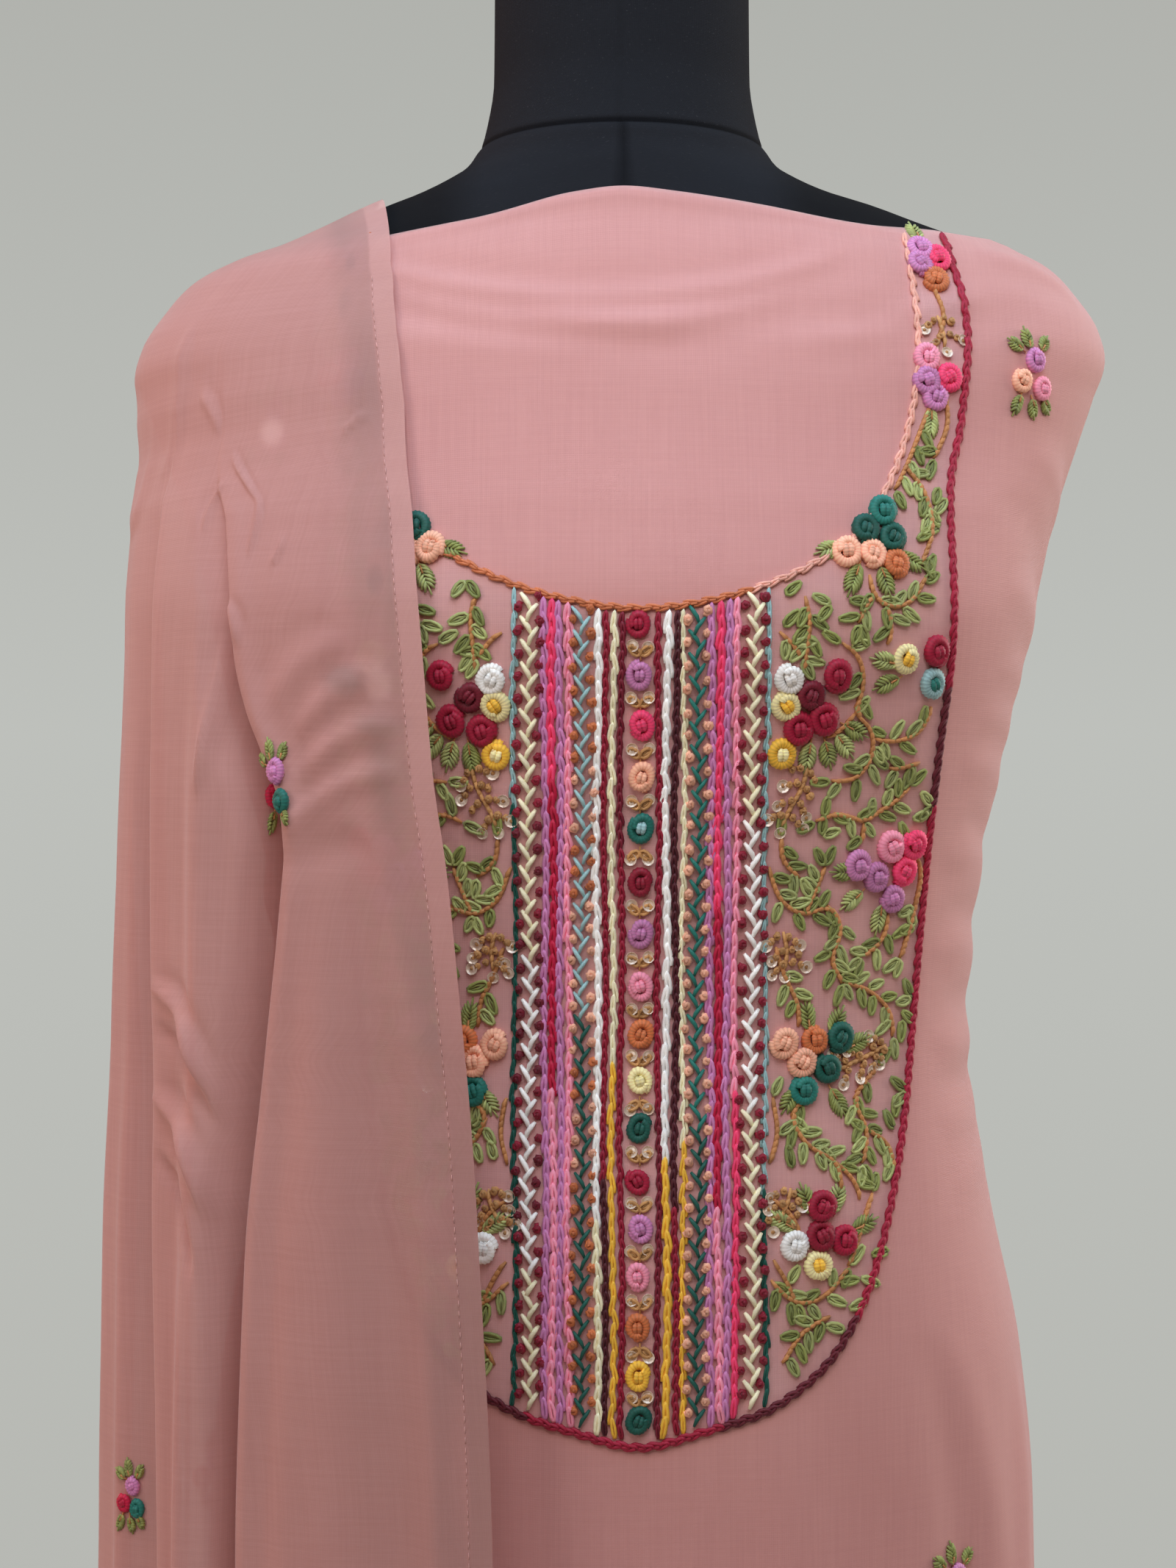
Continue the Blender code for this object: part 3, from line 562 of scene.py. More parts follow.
KAMEEZ_BACK_STRAINS = (
    Strain(-130, 1.346, -215, 1.352, 0.10, 0.0060, 0.0008),
    Strain(-122, 1.330, -196, 1.338, 0.11, 0.0080, -0.0005),
    Strain(-150, 1.322, -238, 1.326, 0.10, 0.0070, 0.0007),
    Strain(-115, 1.300, -170, 1.290, 0.06, 0.0100, 0.0006),
    Strain(-190, 1.300, -245, 1.300, 0.05, 0.0090, -0.0005),
    Strain(-101, 1.252, -138, 1.205, 0.08, 0.0090, 0.0016),
    Strain(-259, 1.246, -224, 1.196, -0.08, 0.0085, 0.0017),
    Strain(-100, 1.160, -136, 1.146, 0.05, 0.0080, 0.0019),
    Strain(-100, 1.132, -132, 1.110, 0.05, 0.0075, -0.0017),
    Strain(-99, 1.100, -141, 1.082, 0.04, 0.0085, 0.0025),
    Strain(-100, 1.070, -133, 1.060, 0.02, 0.0070, -0.0019),
    Strain(-100, 1.042, -144, 1.038, -0.02, 0.0085, 0.0028),
    Strain(-101, 1.012, -134, 1.016, -0.04, 0.0070, -0.0018),
    Strain(-100, 0.988, -139, 1.002, -0.05, 0.0090, 0.0022),
    Strain(-260, 1.164, -226, 1.142, -0.05, 0.0080, 0.0020),
    Strain(-260, 1.128, -229, 1.112, -0.04, 0.0075, -0.0017),
    Strain(-260, 1.106, -219, 1.078, -0.05, 0.0085, 0.0026),
    Strain(-260, 1.064, -228, 1.056, -0.02, 0.0070, -0.0019),
    Strain(-260, 1.046, -216, 1.034, -0.02, 0.0090, 0.0026),
    Strain(-259, 1.008, -226, 1.014, 0.04, 0.0075, -0.0018),
    Strain(-260, 0.982, -221, 0.998, 0.05, 0.0090, 0.0020),
    Strain(-171, 1.170, -166, 0.960, 0.03, 0.0140, -0.0030),
    Strain(-192, 1.150, -198, 0.940, -0.03, 0.0130, -0.0026),
    Strain(-134, 0.900, -130, 0.560, 0.02, 0.0120, 0.0034),
    Strain(-165, 0.880, -163, 0.530, 0.02, 0.0130, -0.0032),
    Strain(-199, 0.890, -202, 0.540, -0.02, 0.0120, 0.0030),
    Strain(-227, 0.870, -229, 0.500, -0.02, 0.0110, -0.0034),
    Strain(-142, 0.600, -139, 0.345, 0.02, 0.0090, -0.0034),
    Strain(-173, 0.580, -171, 0.345, 0.02, 0.0090, 0.0032),
    Strain(-206, 0.560, -208, 0.345, -0.02, 0.0090, -0.0030),
)


def fold_depth(folds, turn, z, hem):
    """How far the large folds lift the cloth; each begins at one level and is full at another."""
    total = 0.0 * turn
    for fold in folds:
        share = np.clip((fold.begins - z) / (fold.begins - hem), 0.0, 1.0)
        off = (turn - mix(fold.top_turn, fold.hem_turn, share)) / fold.half_width
        swell = np.cos(np.clip(off, -1, 1) * math.pi / 2) ** 2
        total = total + fold.depth * swell * (1 - ramp(z, fold.full, fold.begins))
    return total


def strain_height(strains, turn, z, degree):
    """How far the strains lift the cloth, each soft at its ends and with a lower lip along one side."""
    total = 0.0 * turn
    for strain in strains:
        start = np.array([strain.turn * degree, strain.z])
        line = np.array([strain.to_turn * degree, strain.to_z]) - start
        length = np.hypot(*line)
        along_x, along_z = line / length
        dx, dz = turn * degree - start[0], z - start[1]
        share = (dx * along_x + dz * along_z) / length
        off = dz * along_x - dx * along_z - strain.bow * length * 4 * share * (1 - share)
        ends = np.clip(1 - (2 * share - 1) ** 4, 0, 1) * (np.abs(2 * share - 1) < 1)
        width = strain.width * (0.6 + 0.4 * ends)
        rise = bell(off / width) - 0.35 * bell((off - 1.9 * width) / width)
        total = total + strain.height * ends * rise
    return total


def kameez_points(columns, turns, rows, edge, folds, strains):
    """A panel's grid: turns(level) gives its two sides, and edge its upper edge by turn."""
    first, last = turns(rows)
    turn = mix(first[:, None], last[:, None], np.linspace(0, 1, columns + 1)[None])
    follow = ramp(rows, NECK_EDGE_FADES, KAMEEZ_TOP)[:, None]
    z = rows[:, None] + (edge.at(turn)[0] - KAMEEZ_TOP) * follow
    rolled = 0.0012 * bell((KAMEEZ_TOP - rows[:, None] - 0.0035) / 0.0025)
    ease = KAMEEZ_EASE.at(z) + fold_depth(folds, turn, z, KAMEEZ_HEM) + KAMEEZ_LIFT + rolled
    strained = strain_height(strains, turn, z, KAMEEZ_DEGREE)
    # a trough is only as deep as the room between the cloth and the form
    room = np.minimum.reduce(list(ease)) - LEAST_EASE
    strained = np.where(strained < 0, -room * np.tanh(-strained / np.maximum(room, 1e-4)), strained)
    return layer(turn, z, ease + strained), turn


def front_turns(rows):
    wrap = mix(KAMEEZ_HEM_WRAP, KAMEEZ_WRAP, ramp(rows, KAMEEZ_HEM, KAMEEZ_SLIT))
    return -wrap, wrap


def back_turns(rows):
    opened = (KAMEEZ_WRAP - KAMEEZ_HEM_WRAP) * (1 - ramp(rows, KAMEEZ_HEM, KAMEEZ_SLIT)) / 2
    return KAMEEZ_WRAP + SIDE_GAP + opened - 360, -KAMEEZ_WRAP - SIDE_GAP - opened


def slubs(lay, x_scale, y_scale, detail=3.0):
    """Thick places in the yarn, drawn out along or across the cloth."""
    drawn = lay.node("Mapping", None, {"Vector": lay, "Scale": (x_scale, y_scale, 1.0)})
    return lay.noise(drawn, 1.0, detail)


def crepe():
    """A light plain weave: yarns half a millimetre apart that wander and thicken, in two close tones."""
    made, wire, shader = finish("peach_georgette", 0.82, Sheen_Weight=0.35, Sheen_Roughness=0.4)
    lay, across, down = flat_cloth(wire)
    wander = wire.noise(lay, 260.0, 2.0) * 2.2
    warp, weft = yarns(across, 0.00045, wander), yarns(down, 0.00050, wander)
    streaks = slubs(lay, 900.0, 22.0) * 0.6 + slubs(lay, 30.0, 800.0) * 0.4
    share = streaks * 0.8 + slubs(lay, 14.0, 11.0) * 0.5 + warp * 0.10 + weft * 0.10 - 0.15
    colour = wire.blend(share, (0.622, 0.276, 0.258), (0.775, 0.384, 0.358))
    # the threads behind the worked yoke grey its ground
    worked = wire.blend(share, (0.600, 0.290, 0.280), (0.820, 0.450, 0.434))
    wire.plug(shader.inputs["Base Color"], wire.blend(wire.mark("yoke"), colour, worked))
    wire.relief(shader, 0.35, 0.00025, warp * 0.3 + weft * 0.3 + streaks)
    return made


# The yoke's edge and the line of the neck still to be cut, each as half a symmetrical curve: metres out
# from the yoke's middle, and the level.
YOKE_MIDDLE = 0.0055
YOKE_EDGE = (
    (0.1270, 1.3515), (0.1345, 1.3120), (0.1310, 1.2710), (0.1250, 1.2400), (0.1258, 1.1800),
    (0.1215, 1.1350), (0.1165, 1.0750), (0.1125, 1.0250), (0.1080, 0.9850), (0.1010, 0.9500),
    (0.0900, 0.9160), (0.0740, 0.8910), (0.0520, 0.8755), (0.0260, 0.8670), (0.0000, 0.8610),
)
NECK_LINE = (
    (0.1104, 1.3500), (0.1134, 1.3100), (0.1114, 1.2800), (0.1025, 1.2500), (0.0873, 1.2230),
    (0.0660, 1.2080), (0.0420, 1.1980), (0.0180, 1.1925), (0.0000, 1.1910),
)


OVER_THE_TOP = 0.06        # both lines are closed this far above the shoulders, clear of the cloth


def run_of(line):
    """How far along a line of points each of them lies."""
    return np.concatenate([[0], np.cumsum(np.linalg.norm(np.diff(line, axis=0), axis=1))])


def along_line(line, run, at):
    """The places at these distances along a line."""
    return np.stack([np.interp(at, run, line[:, k]) for k in range(line.shape[1])], axis=1)


def smooth_line(places, step, both_sides=False):
    """Points a step apart along a smooth curve through these places, and back up the other side if asked."""
    places = np.array(places, float)
    if both_sides:
        places = np.vstack([places, places[-2::-1] * (-1, 1)]) + (YOKE_MIDDLE, 0)
    ends = np.vstack([2 * places[:1] - places[1:2], places, 2 * places[-1:] - places[-2:-1]])
    found = []
    for a, b, c, d in zip(ends, ends[1:], ends[2:], ends[3:]):
        for u in np.arange(0, 1, 0.05):
            found.append(0.5 * (
                2 * b + (c - a) * u + (2 * a - 5 * b + 4 * c - d) * u * u + (3 * b - 3 * c + d - a) * u ** 3
            ))
    found = np.array(found + [places[-1]])
    run = run_of(found)
    return along_line(found, run, np.linspace(0, run[-1], max(2, round(run[-1] / step) + 1)))


def inside(outline, x, z):
    """Whether each place lies inside an outline of (x, z) points."""
    held = np.zeros(x.shape, bool)
    for (ax, az), (bx, bz) in zip(outline, np.roll(outline, -1, axis=0)):
        cross = (az > z) != (bz > z)
        held ^= cross & (x < ax + (bx - ax) * (z - az) / (bz - az if bz != az else 1e-9))
    return held


def worked_within(line):
    """For each point of the front panel, 1 inside a line that is open above and 0 outside, soft over 3 mm."""
    line = smooth_line(line, 0.0015, True)
    outline = np.vstack([line, line[-1:] + (0, OVER_THE_TOP), line[:1] + (0, OVER_THE_TOP)])
    panel_x, panel_z = front_points[..., 0], front_points[..., 2]
    away = np.full(panel_x.shape, 1.0)
    for x, z in outline:
        away = np.minimum(away, np.hypot(panel_x - x, panel_z - z))
    away = np.where(inside(outline, panel_x, panel_z), away, -away)
    return np.clip(0.5 + away / 0.003, 0, 1) * (np.abs(front_turn) < 80)


FRONT_COLUMNS, BACK_COLUMNS = 150, 110
georgette = crepe()
front_points, front_turn = kameez_points(
    FRONT_COLUMNS, front_turns, levels((KAMEEZ_TOP, 0.0028), (0.78, 0.0056), (KAMEEZ_HEM, 0)),
    FRONT_NECK_EDGE, KAMEEZ_FRONT_FOLDS, KAMEEZ_FRONT_STRAINS,
)
back_points, back_turn = kameez_points(
    BACK_COLUMNS, back_turns, levels((KAMEEZ_TOP, 0.0058), (0.78, 0.0090), (KAMEEZ_HEM, 0)),
    BACK_NECK_EDGE, KAMEEZ_BACK_FOLDS, KAMEEZ_BACK_STRAINS,
)
worked = worked_within(YOKE_EDGE) * (1 - worked_within(NECK_LINE))
for node, points, yoke, cut in (
    ("kameez_front", front_points, worked, (0.62, 1.05)),
    ("kameez_back", back_points, 0.0 * back_turn, (0.54, 1.05)),
):
    panel = woven(node + "_panel", points, georgette, KAMEEZ_WALL, marks={"yoke": yoke})
    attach(panel, "root")
    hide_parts(node)


# Embroidery. Thick six-strand cotton worked by hand through the kameez: chain and feather stitches in
# columns down the yoke, wound bullion roses, daisy-loop and fishbone leaves on stem-stitch vines, French
# knots, and a heavy plaited chain round the yoke. Every stitch lies on the cloth.
THREAD = {
    "crimson": (0.510, 0.005, 0.048), "rose_red": (0.370, 0.004, 0.036), "wine": (0.285, 0.004, 0.027),
    "maroon": (0.180, 0.004, 0.020), "dark_maroon": (0.070, 0.003, 0.010), "lilac": (0.600, 0.225, 0.460),
    "hot_pink": (0.900, 0.055, 0.170), "pink": (0.950, 0.325, 0.455), "peach": (0.950, 0.480, 0.320),
    "rust": (0.640, 0.180, 0.060),
    "pale_yellow": (0.940, 0.840, 0.430), "yellow": (0.900, 0.520, 0.050), "dark_green": (0.005, 0.095, 0.070),
    "teal": (0.012, 0.175, 0.140), "sky": (0.340, 0.560, 0.580), "white": (0.965, 0.955, 0.920),
    "cream": (0.910, 0.855, 0.590), "leaf": (0.265, 0.305, 0.085), "leaf_light": (0.400, 0.450, 0.165),
    "vine": (0.520, 0.225, 0.075), "gold": (0.560, 0.290, 0.105), "edge_light": (0.370, 0.007, 0.038),
    "edge_dark": (0.120, 0.005, 0.016), "neck_light": (0.850, 0.420, 0.330), "neck_rust": (0.600, 0.180, 0.070),
}
Spot = namedtuple("Spot", "place right up out")
# under the dupatta the stitches are pressed flat: between these places to -X of the middle, to this share of
# their height, up to the level where they begin to stand free again
Pressed = namedtuple("Pressed", "near far flat")
UNDER_SHAWL = Pressed(0.080, 0.100, 0.25)
PRESSED_FROM, FREE_ABOVE = (1.20, 1.25), (1.27, 1.30)


def turned(x, y, angle):
    return x * math.cos(angle) - y * math.sin(angle), x * math.sin(angle) + y * math.cos(angle)


class Ground:
    """A cloth's surface to sew on, found by looking straight at it from the front or from behind."""

    def __init__(self, points, from_y, pressed=None):
        rows, columns = points.shape[:2]
        r, c = np.meshgrid(np.arange(rows - 1), np.arange(columns - 1), indexing="ij")
        here = (r * columns + c).ravel()
        quads = np.stack([here, here + columns, here + columns + 1, here + 1], axis=-1)
        self.tree = BVHTree.FromPolygons(points.reshape(-1, 3).tolist(), quads.tolist())
        self.from_y, self.pressed = from_y, pressed

    def spot(self, x, z, heading=0.0):
        """The place at this x and level, with its own right and up, turned by heading degrees."""
        found, out, _, _ = self.tree.ray_cast(Vector((x, self.from_y, z)), Vector((0, -self.from_y, 0)))
        if found is None:
            return None
        if out.y * self.from_y < 0:
            out = -out
        up = (Vector((0, 0, 1)) - out * out.z).normalized()
        right = up.cross(out)
        turn = math.radians(heading)
        if self.pressed:
            flat = mix(self.pressed.flat, 0.0, ramp(z, *FREE_ABOVE))
            under = ramp(-x, self.pressed.near, self.pressed.far) * ramp(z, *PRESSED_FROM)
            out = out * float(mix(1.0, flat, under))
        across = right * math.cos(turn) + up * math.sin(turn)
        return Spot(found, across, up * math.cos(turn) - right * math.sin(turn), out)


LINK_POINTS, KNOT_POINTS, LEAF_THREAD = 9, 10, 0.00082


class Needlework:
    """Stitches gathered into one piece, each with its own thread colour."""

    def __init__(self, seed):
        self.points, self.faces, self.colours, self.count = [], [], [], 0
        self.chance = random.Random(seed)

    def tint(self, colour, spread=0.10):
        base = THREAD[colour] if isinstance(colour, str) else colour
        return np.array(base) * (1 + self.chance.uniform(-spread, spread))

    def strand(self, path, radius, colour, sides=4, closed=False, swell=None, bands=None):
        """A round thread through these points. swell thickens it ring by ring, and bands scales its colour ring
        by ring, for painted shade and painted highlight.
        """
        path = np.asarray(path, float)
        if closed:
            along = np.roll(path, -1, axis=0) - np.roll(path, 1, axis=0)
        else:
            along = np.gradient(path, axis=0)
        along /= np.maximum(np.linalg.norm(along, axis=1, keepdims=True), 1e-9)
        guide = np.cross(along, (0.31, 0.62, 0.72))
        guide /= np.maximum(np.linalg.norm(guide, axis=1, keepdims=True), 1e-9)
        other = np.cross(along, guide)
        count = len(path)
        if swell is None:
            swell = 1.0 if closed else 0.6 + 0.4 * np.sin(np.linspace(0, math.pi, count)) ** 0.5
        reach = radius * np.broadcast_to(swell, count)[:, None, None]
        turn = np.arange(sides) * 2 * math.pi / sides
        rings = path[:, None] + reach * (
            guide[:, None] * np.cos(turn)[None, :, None] + other[:, None] * np.sin(turn)[None, :, None]
        )
        first = self.count
        for r in range(count if closed else count - 1):
            here, there = first + r * sides, first + (r + 1) % count * sides
            for s in range(sides):
                t = (s + 1) % sides
                self.faces.append((here + s, here + t, there + t, there + s))
        if not closed:
            self.faces.append(tuple(first + s for s in reversed(range(sides))))
            self.faces.append(tuple(first + (count - 1) * sides + s for s in range(sides)))
        tone = np.asarray(colour) * np.broadcast_to(1.0 if bands is None else bands, count)[:, None]
        self.points.append(rings.reshape(-1, 3))
        self.colours.append(np.repeat(tone, sides, axis=0))
        self.count += count * sides

    def on(self, spot, places, radius, colour, lift=0.0, **more):
        """A strand through (right, up) or (right, up, lift) places about a spot."""
        path = [
            spot.place + spot.right * p[0] + spot.up * p[1] + spot.out * ((p[2] if len(p) > 2 else 0) + lift)
            for p in places
        ]
        self.strand([tuple(p) for p in path], radius * max(0.35, spot.out.length), colour, **more)

    def chain_link(self, spot, length, width, radius, colour, sides=4):
        """One chain stitch, from the spot downwards; it is narrow where it leaves the last one."""
        places = []
        for k in range(LINK_POINTS):
            a = k * 2 * math.pi / LINK_POINTS
            across, down = width / 2 * math.sin(a) * (1 - 0.3 * math.cos(a)), length * (0.50 - 0.66 * math.cos(a))
            places.append((across, -down, 0.0004 * (1 + math.cos(a))))
        self.on(spot, places, radius, self.tint(colour), lift=radius * 0.6, closed=True, sides=sides)

    def knot(self, spot, size, colour):
        """A French knot: the thread wound once and a half round itself."""
        start, tone = self.chance.uniform(0, 6.28), self.tint(colour, 0.16)
        places, squash = [], self.chance.uniform(0.84, 1.0)
        for k in range(KNOT_POINTS):
            a, reach = start + k * 0.98, size * (0.66 - 0.052 * k)
            places.append((reach * math.cos(a) * squash, reach * math.sin(a), size * (0.20 + 0.085 * k)))
        # painted shade: the thread darkens as it winds in towards the knot's middle
        thins, knot_painted_shade = np.linspace(1.0, 0.8, KNOT_POINTS), np.linspace(1.0, 0.72, KNOT_POINTS)
        self.on(spot, places, size * 0.47, tone, sides=5, swell=thins, bands=knot_painted_shade)

    def coil(self, spot, places, radius, colour, rib):
        """A bullion coil: thread wound round and round the line through these places, rib by rib."""
        places = np.asarray(places, float)
        run = run_of(places)
        count = 2 * max(3, round(run[-1] / rib))
        fine = along_line(places, run, np.linspace(0, run[-1], count + 1))
        rib_top = np.arange(count + 1) % 2 == 0
        ends = 0.55 + 0.45 * np.sin(np.linspace(0.12, math.pi - 0.12, count + 1)) ** 0.4
        # painted highlight on the top of each rib and painted shade in the groove between ribs
        swell, bands = np.where(rib_top, 1.0, 0.86) * ends, np.where(rib_top, 1.16, 0.79)
        self.on(spot, fine, radius, colour, sides=5, swell=swell, bands=bands)

    def rose(self, spot, size, colour, heart=None, tall=(1.02, 1.16)):
        """A bullion rose: two short coils side by side, and a long one laid round until its ends cross."""
        tall, turn = self.chance.uniform(*tall), math.radians(self.chance.uniform(-12, 12))
        start, ring = self.chance.uniform(0, 6.28), []
        for k in range(25):
            a, u = start + k * 0.30, k / 24
            reach = size * (0.64 - 0.24 * u ** 2.5)
            place = turned(reach * math.cos(a), reach * tall * math.sin(a), turn)
            ring.append((*place, size * (0.14 + 0.24 * u ** 3)))
        self.coil(spot, ring, size * 0.36, self.tint(colour, 0.12), rib=0.0012)
        middle = self.tint(heart or colour, 0.12) * (1.0 if heart else 0.94)
        for side in (-1, 1):
            bar = []
            for k in range(7):
                u = k / 6 * 2 - 1
                place = turned(side * size * 0.16 * (1 - 0.25 * u * u), u * size * 0.34, turn)
                bar.append((*place, size * (0.30 + 0.16 * (1 - u * u))))
            self.coil(spot, bar, size * 0.225, middle, rib=0.0011)

    def loop_leaf(self, spot, length, width, colour):
        """A daisy-loop leaf from the spot upwards: the loop and a thread or two within it."""
        tone = self.tint(colour, 0.20)
        loop = [
            (width * 0.36 * math.sin(a) * (1 + 0.2 * math.cos(a)), length * (0.47 - 0.47 * math.cos(a)), 0.0002)
            for a in np.linspace(0, 2 * math.pi, 10)[:-1]
        ]
        self.on(spot, loop, LEAF_THREAD, tone, lift=0.0006, closed=True)
        for side in (-0.13, 0.13):
            within = [(0, length * 0.10), (side * width, length * 0.48), (side * width * 0.4, length * 0.88)]
            self.on(spot, within, 0.00062, tone * (0.9 if side > 0 else 0.7), lift=0.0007)

    def fishbone_leaf(self, spot, length, width, colour):
        """A broad leaf of slanting stitches that meet on its middle, over a brown rib at its foot."""
        count = max(5, round(length / 0.0021))
        for k in range(count):
            u = (k + 0.3) / count
            reach = width / 2 * math.sin(math.pi * min(1, 0.22 + u * 0.72)) ** 0.7
            base = length * u * 0.70
            for side in (-1, 1):
                slant = [
                    (0, base, 0.0010), (side * reach * 0.55, base + length * 0.12, 0.0012),
                    (side * reach, base + length * 0.27, 0.0003),
                ]
                self.on(spot, slant, LEAF_THREAD, self.tint(colour, 0.24))
        tip = [(0, length * 0.66, 0.0008), (0, length * 1.04, 0.0004)]
        self.on(spot, tip, 0.0008, self.tint(colour, 0.15))
        rib = [(0, -0.0016, 0.0005), (0, length * 0.36, 0.0018)]
        self.on(spot, rib, 0.0007, self.tint("vine", 0.1))

    def stem(self, ground, line, colour, radius=0.00112, step=0.0027):
        """Stem stitch: short stitches that overlap side by side along a line of (x, z) points."""
        line = smooth_line(line, step)
        for k in range(len(line) - 2):
            spot, far = ground.spot(*line[k]), ground.spot(*line[k + 2])
            if spot and far:
                run = far.place - spot.place
                side = run.cross(spot.out).normalized() * 0.0004
                path = [
                    spot.place + spot.out * 0.0002 - side, (spot.place + far.place) / 2 + spot.out * 0.0010,
                    far.place + far.out * 0.0002 + side,
                ]
                self.strand([tuple(p) for p in path], radius, self.tint(colour, 0.15))

    def piece(self, name, material):
        made = put(name, np.concatenate(self.points).tolist(), self.faces, material)
        colours = np.concatenate(self.colours)
        colours = np.concatenate([colours, np.ones((len(colours), 1))], axis=1)
        made.data.attributes.new("thread", "FLOAT_COLOR", "POINT").data.foreach_set("color", colours.ravel())
        made.data.shade_smooth()
        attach(made, "root")
        return made


def cotton():
    made, wire, shader = finish("cotton_thread", 0.62, Sheen_Weight=0.14, Sheen_Roughness=0.35)
    place = wire.node("TexCoord", out="Object")
    ply, worn = wire.noise(place, 2400.0, 1.0), wire.noise(place, 420.0, 2.0)
    shade = wire.blend(ply * 0.6 + worn * 0.5, (0.76, 0.76, 0.76), (1.38, 1.38, 1.38))
    colour = wire.blend(1.0, wire.mark("thread", "Color"), shade, "MULTIPLY")
    wire.plug(shader.inputs["Base Color"], colour)
    wire.relief(shader, 0.4, 0.0002, ply)
    return made


cotton_thread = cotton()
front = Ground(front_points, -1.0, UNDER_SHAWL)
neck_half = np.array(NECK_LINE)
foot_half = np.array(YOKE_EDGE[9:])        # the rounded foot of the yoke's edge


def neck_level(off):
    return float(np.interp(abs(off), neck_half[::-1, 0], neck_half[::-1, 1]))


def foot_level(off):
    return float(np.interp(abs(off), foot_half[::-1, 0], foot_half[::-1, 1]))


# Lines of chain stitch down the panel: millimetres off the yoke's middle, how broad, the length of a stitch,
# the thread at the top, half way and at the foot, and the share of the line where the last one begins. Left
# and right differ a little, as they do by hand.
Line = namedtuple("Line", "off breadth stitch top half_way foot changes", defaults=(0.66,))
CHAINS = (
    Line(-49.4, 1.9, 5.6, "sky", "dark_green", "dark_green"),
    Line(-37.2, 3.0, 6.6, "lilac", "lilac", "lilac"),
    Line(-34.3, 3.2, 6.4, "hot_pink", "crimson", "pink"),
    Line(-31.3, 3.0, 6.6, "lilac", "lilac", "lilac"),
    Line(-28.1, 3.0, 6.2, "pink", "pink", "pink"),
    Line(-16.7, 2.9, 6.6, "white", "white", "cream"),
    Line(-13.8, 2.4, 4.4, "wine", "wine", "dark_maroon"),
    Line(-10.7, 2.4, 6.5, "cream", "cream", "yellow", 0.50),
    Line(-7.4, 2.4, 4.4, "maroon", "wine", "wine"),
    Line(7.3, 2.4, 4.4, "wine", "wine", "maroon"),
    Line(10.4, 3.0, 6.8, "white", "white", "yellow"),
    Line(14.0, 2.6, 4.4, "dark_maroon", "dark_maroon", "wine"),
    Line(17.0, 2.2, 6.4, "cream", "cream", "yellow"),
    Line(27.9, 3.0, 6.6, "lilac", "lilac", "lilac"),
    Line(31.0, 3.2, 6.2, "hot_pink", "crimson", "pink"),
    Line(34.4, 3.1, 6.6, "lilac", "lilac", "lilac"),
    Line(37.9, 2.9, 6.3, "pink", "pink", "hot_pink"),
    Line(49.8, 1.8, 5.6, "sky", "sky", "dark_green"),
)
# Columns of feather stitch with a French knot in each mouth: the thread from top to foot, the knots' threads
# from top to foot, how far the knots stand to the left and the right, and the radius of the thread.
Feather = namedtuple("Feather", "off thread knots left right radius changes", defaults=(0.66,))
FEATHERS = (
    Feather(-43.6, ("cream", "white", "cream"), ("wine", "maroon", "wine"), 4.3, 3.8, 0.00118, 0.80),
    Feather(-22.5, ("sky", "sky", "dark_green"), ("rust", "peach", "rust"), 3.5, 3.6, 0.00094, 0.48),
    Feather(22.8, ("teal", "teal", "dark_green"), ("peach", "peach", "peach"), 3.8, 3.6, 0.00098),
    Feather(44.5, ("cream", "white", "cream"), ("wine", "wine", "wine"), 4.2, 3.9, 0.00118),
)


def stage_of(threads, share, changes):
    """The thread in use at this share of a column, which changes twice on the way down."""
    at_top, half_way, at_foot = threads
    if share < changes - 0.38:
        return at_top
    return half_way if share < changes else at_foot


FEATHER_STITCH = 0.0088


def columns_piece():
    work = Needlework(11)
    chance = work.chance
    for line in CHAINS:
        off, step = line.off * 0.001, line.stitch * 0.00083
        top, foot = neck_level(off) - 0.0030, foot_level(off) + 0.0032
        phase, count = chance.uniform(0, 6), round((top - foot) / step)
        wander = 0.08 * math.sin(phase)
        for k in range(count):
            z = mix(top, foot, k / count)
            sway = 0.00055 * math.sin(phase + z * 46) + chance.uniform(-0.0001, 0.0001)
            spot = front.spot(YOKE_MIDDLE + off + sway, z, chance.uniform(-5, 5) + (6 if k % 2 else -6))
            radius = line.breadth * 0.001 * 0.29
            colour = stage_of((line.top, line.half_way, line.foot), k / count + wander, line.changes)
            work.chain_link(spot, line.stitch * 0.001, line.breadth * 0.00112 - 2 * radius, radius, colour)
    for feather in FEATHERS:
        off = feather.off * 0.001
        top, foot = neck_level(off) - 0.0020, foot_level(off) + 0.0050
        count, phase = round((top - foot) / FEATHER_STITCH), chance.uniform(0, 6)
        for k in range(count):
            z = mix(top, foot, k / count)
            sway = 0.0006 * math.sin(phase + z * 46)
            spot = front.spot(YOKE_MIDDLE + off + sway, z, chance.uniform(-3, 3))
            colour = stage_of(feather.thread, k / count + 0.05 * math.sin(phase), feather.changes)
            for places in (
                ((-3.3, 0.3, 0.5), (-1.8, -1.7, 1.2), (-0.2, -3.9, 1.5), (0.8, -6.6, 0.9)),
                ((3.1, -4.1, 0.6), (1.6, -6.1, 1.4), (0.0, -8.3, 1.6), (-0.9, -11.0, 0.8)),
            ):
                jog = chance.uniform(-0.3, 0.3)
                path = [((x + jog) * 0.001, y * 0.001, h * 0.001) for x, y, h in places]
                work.on(spot, path, feather.radius, work.tint(colour), lift=0.0003, sides=5)
            beads = stage_of(feather.knots, k / count + 0.15 * math.sin(phase + k), 0.66)
            for x, y in ((-feather.left, -5.0), (feather.right, -1.2)):
                place = front.spot(
                    YOKE_MIDDLE + off + sway + x * 0.001 + chance.uniform(-0.0004, 0.0004),
                    z + y * 0.001 + chance.uniform(-0.0005, 0.0005),
                )
                work.knot(place, chance.uniform(0.00220, 0.00265), beads)
    return work.piece("yoke_columns", cotton_thread)


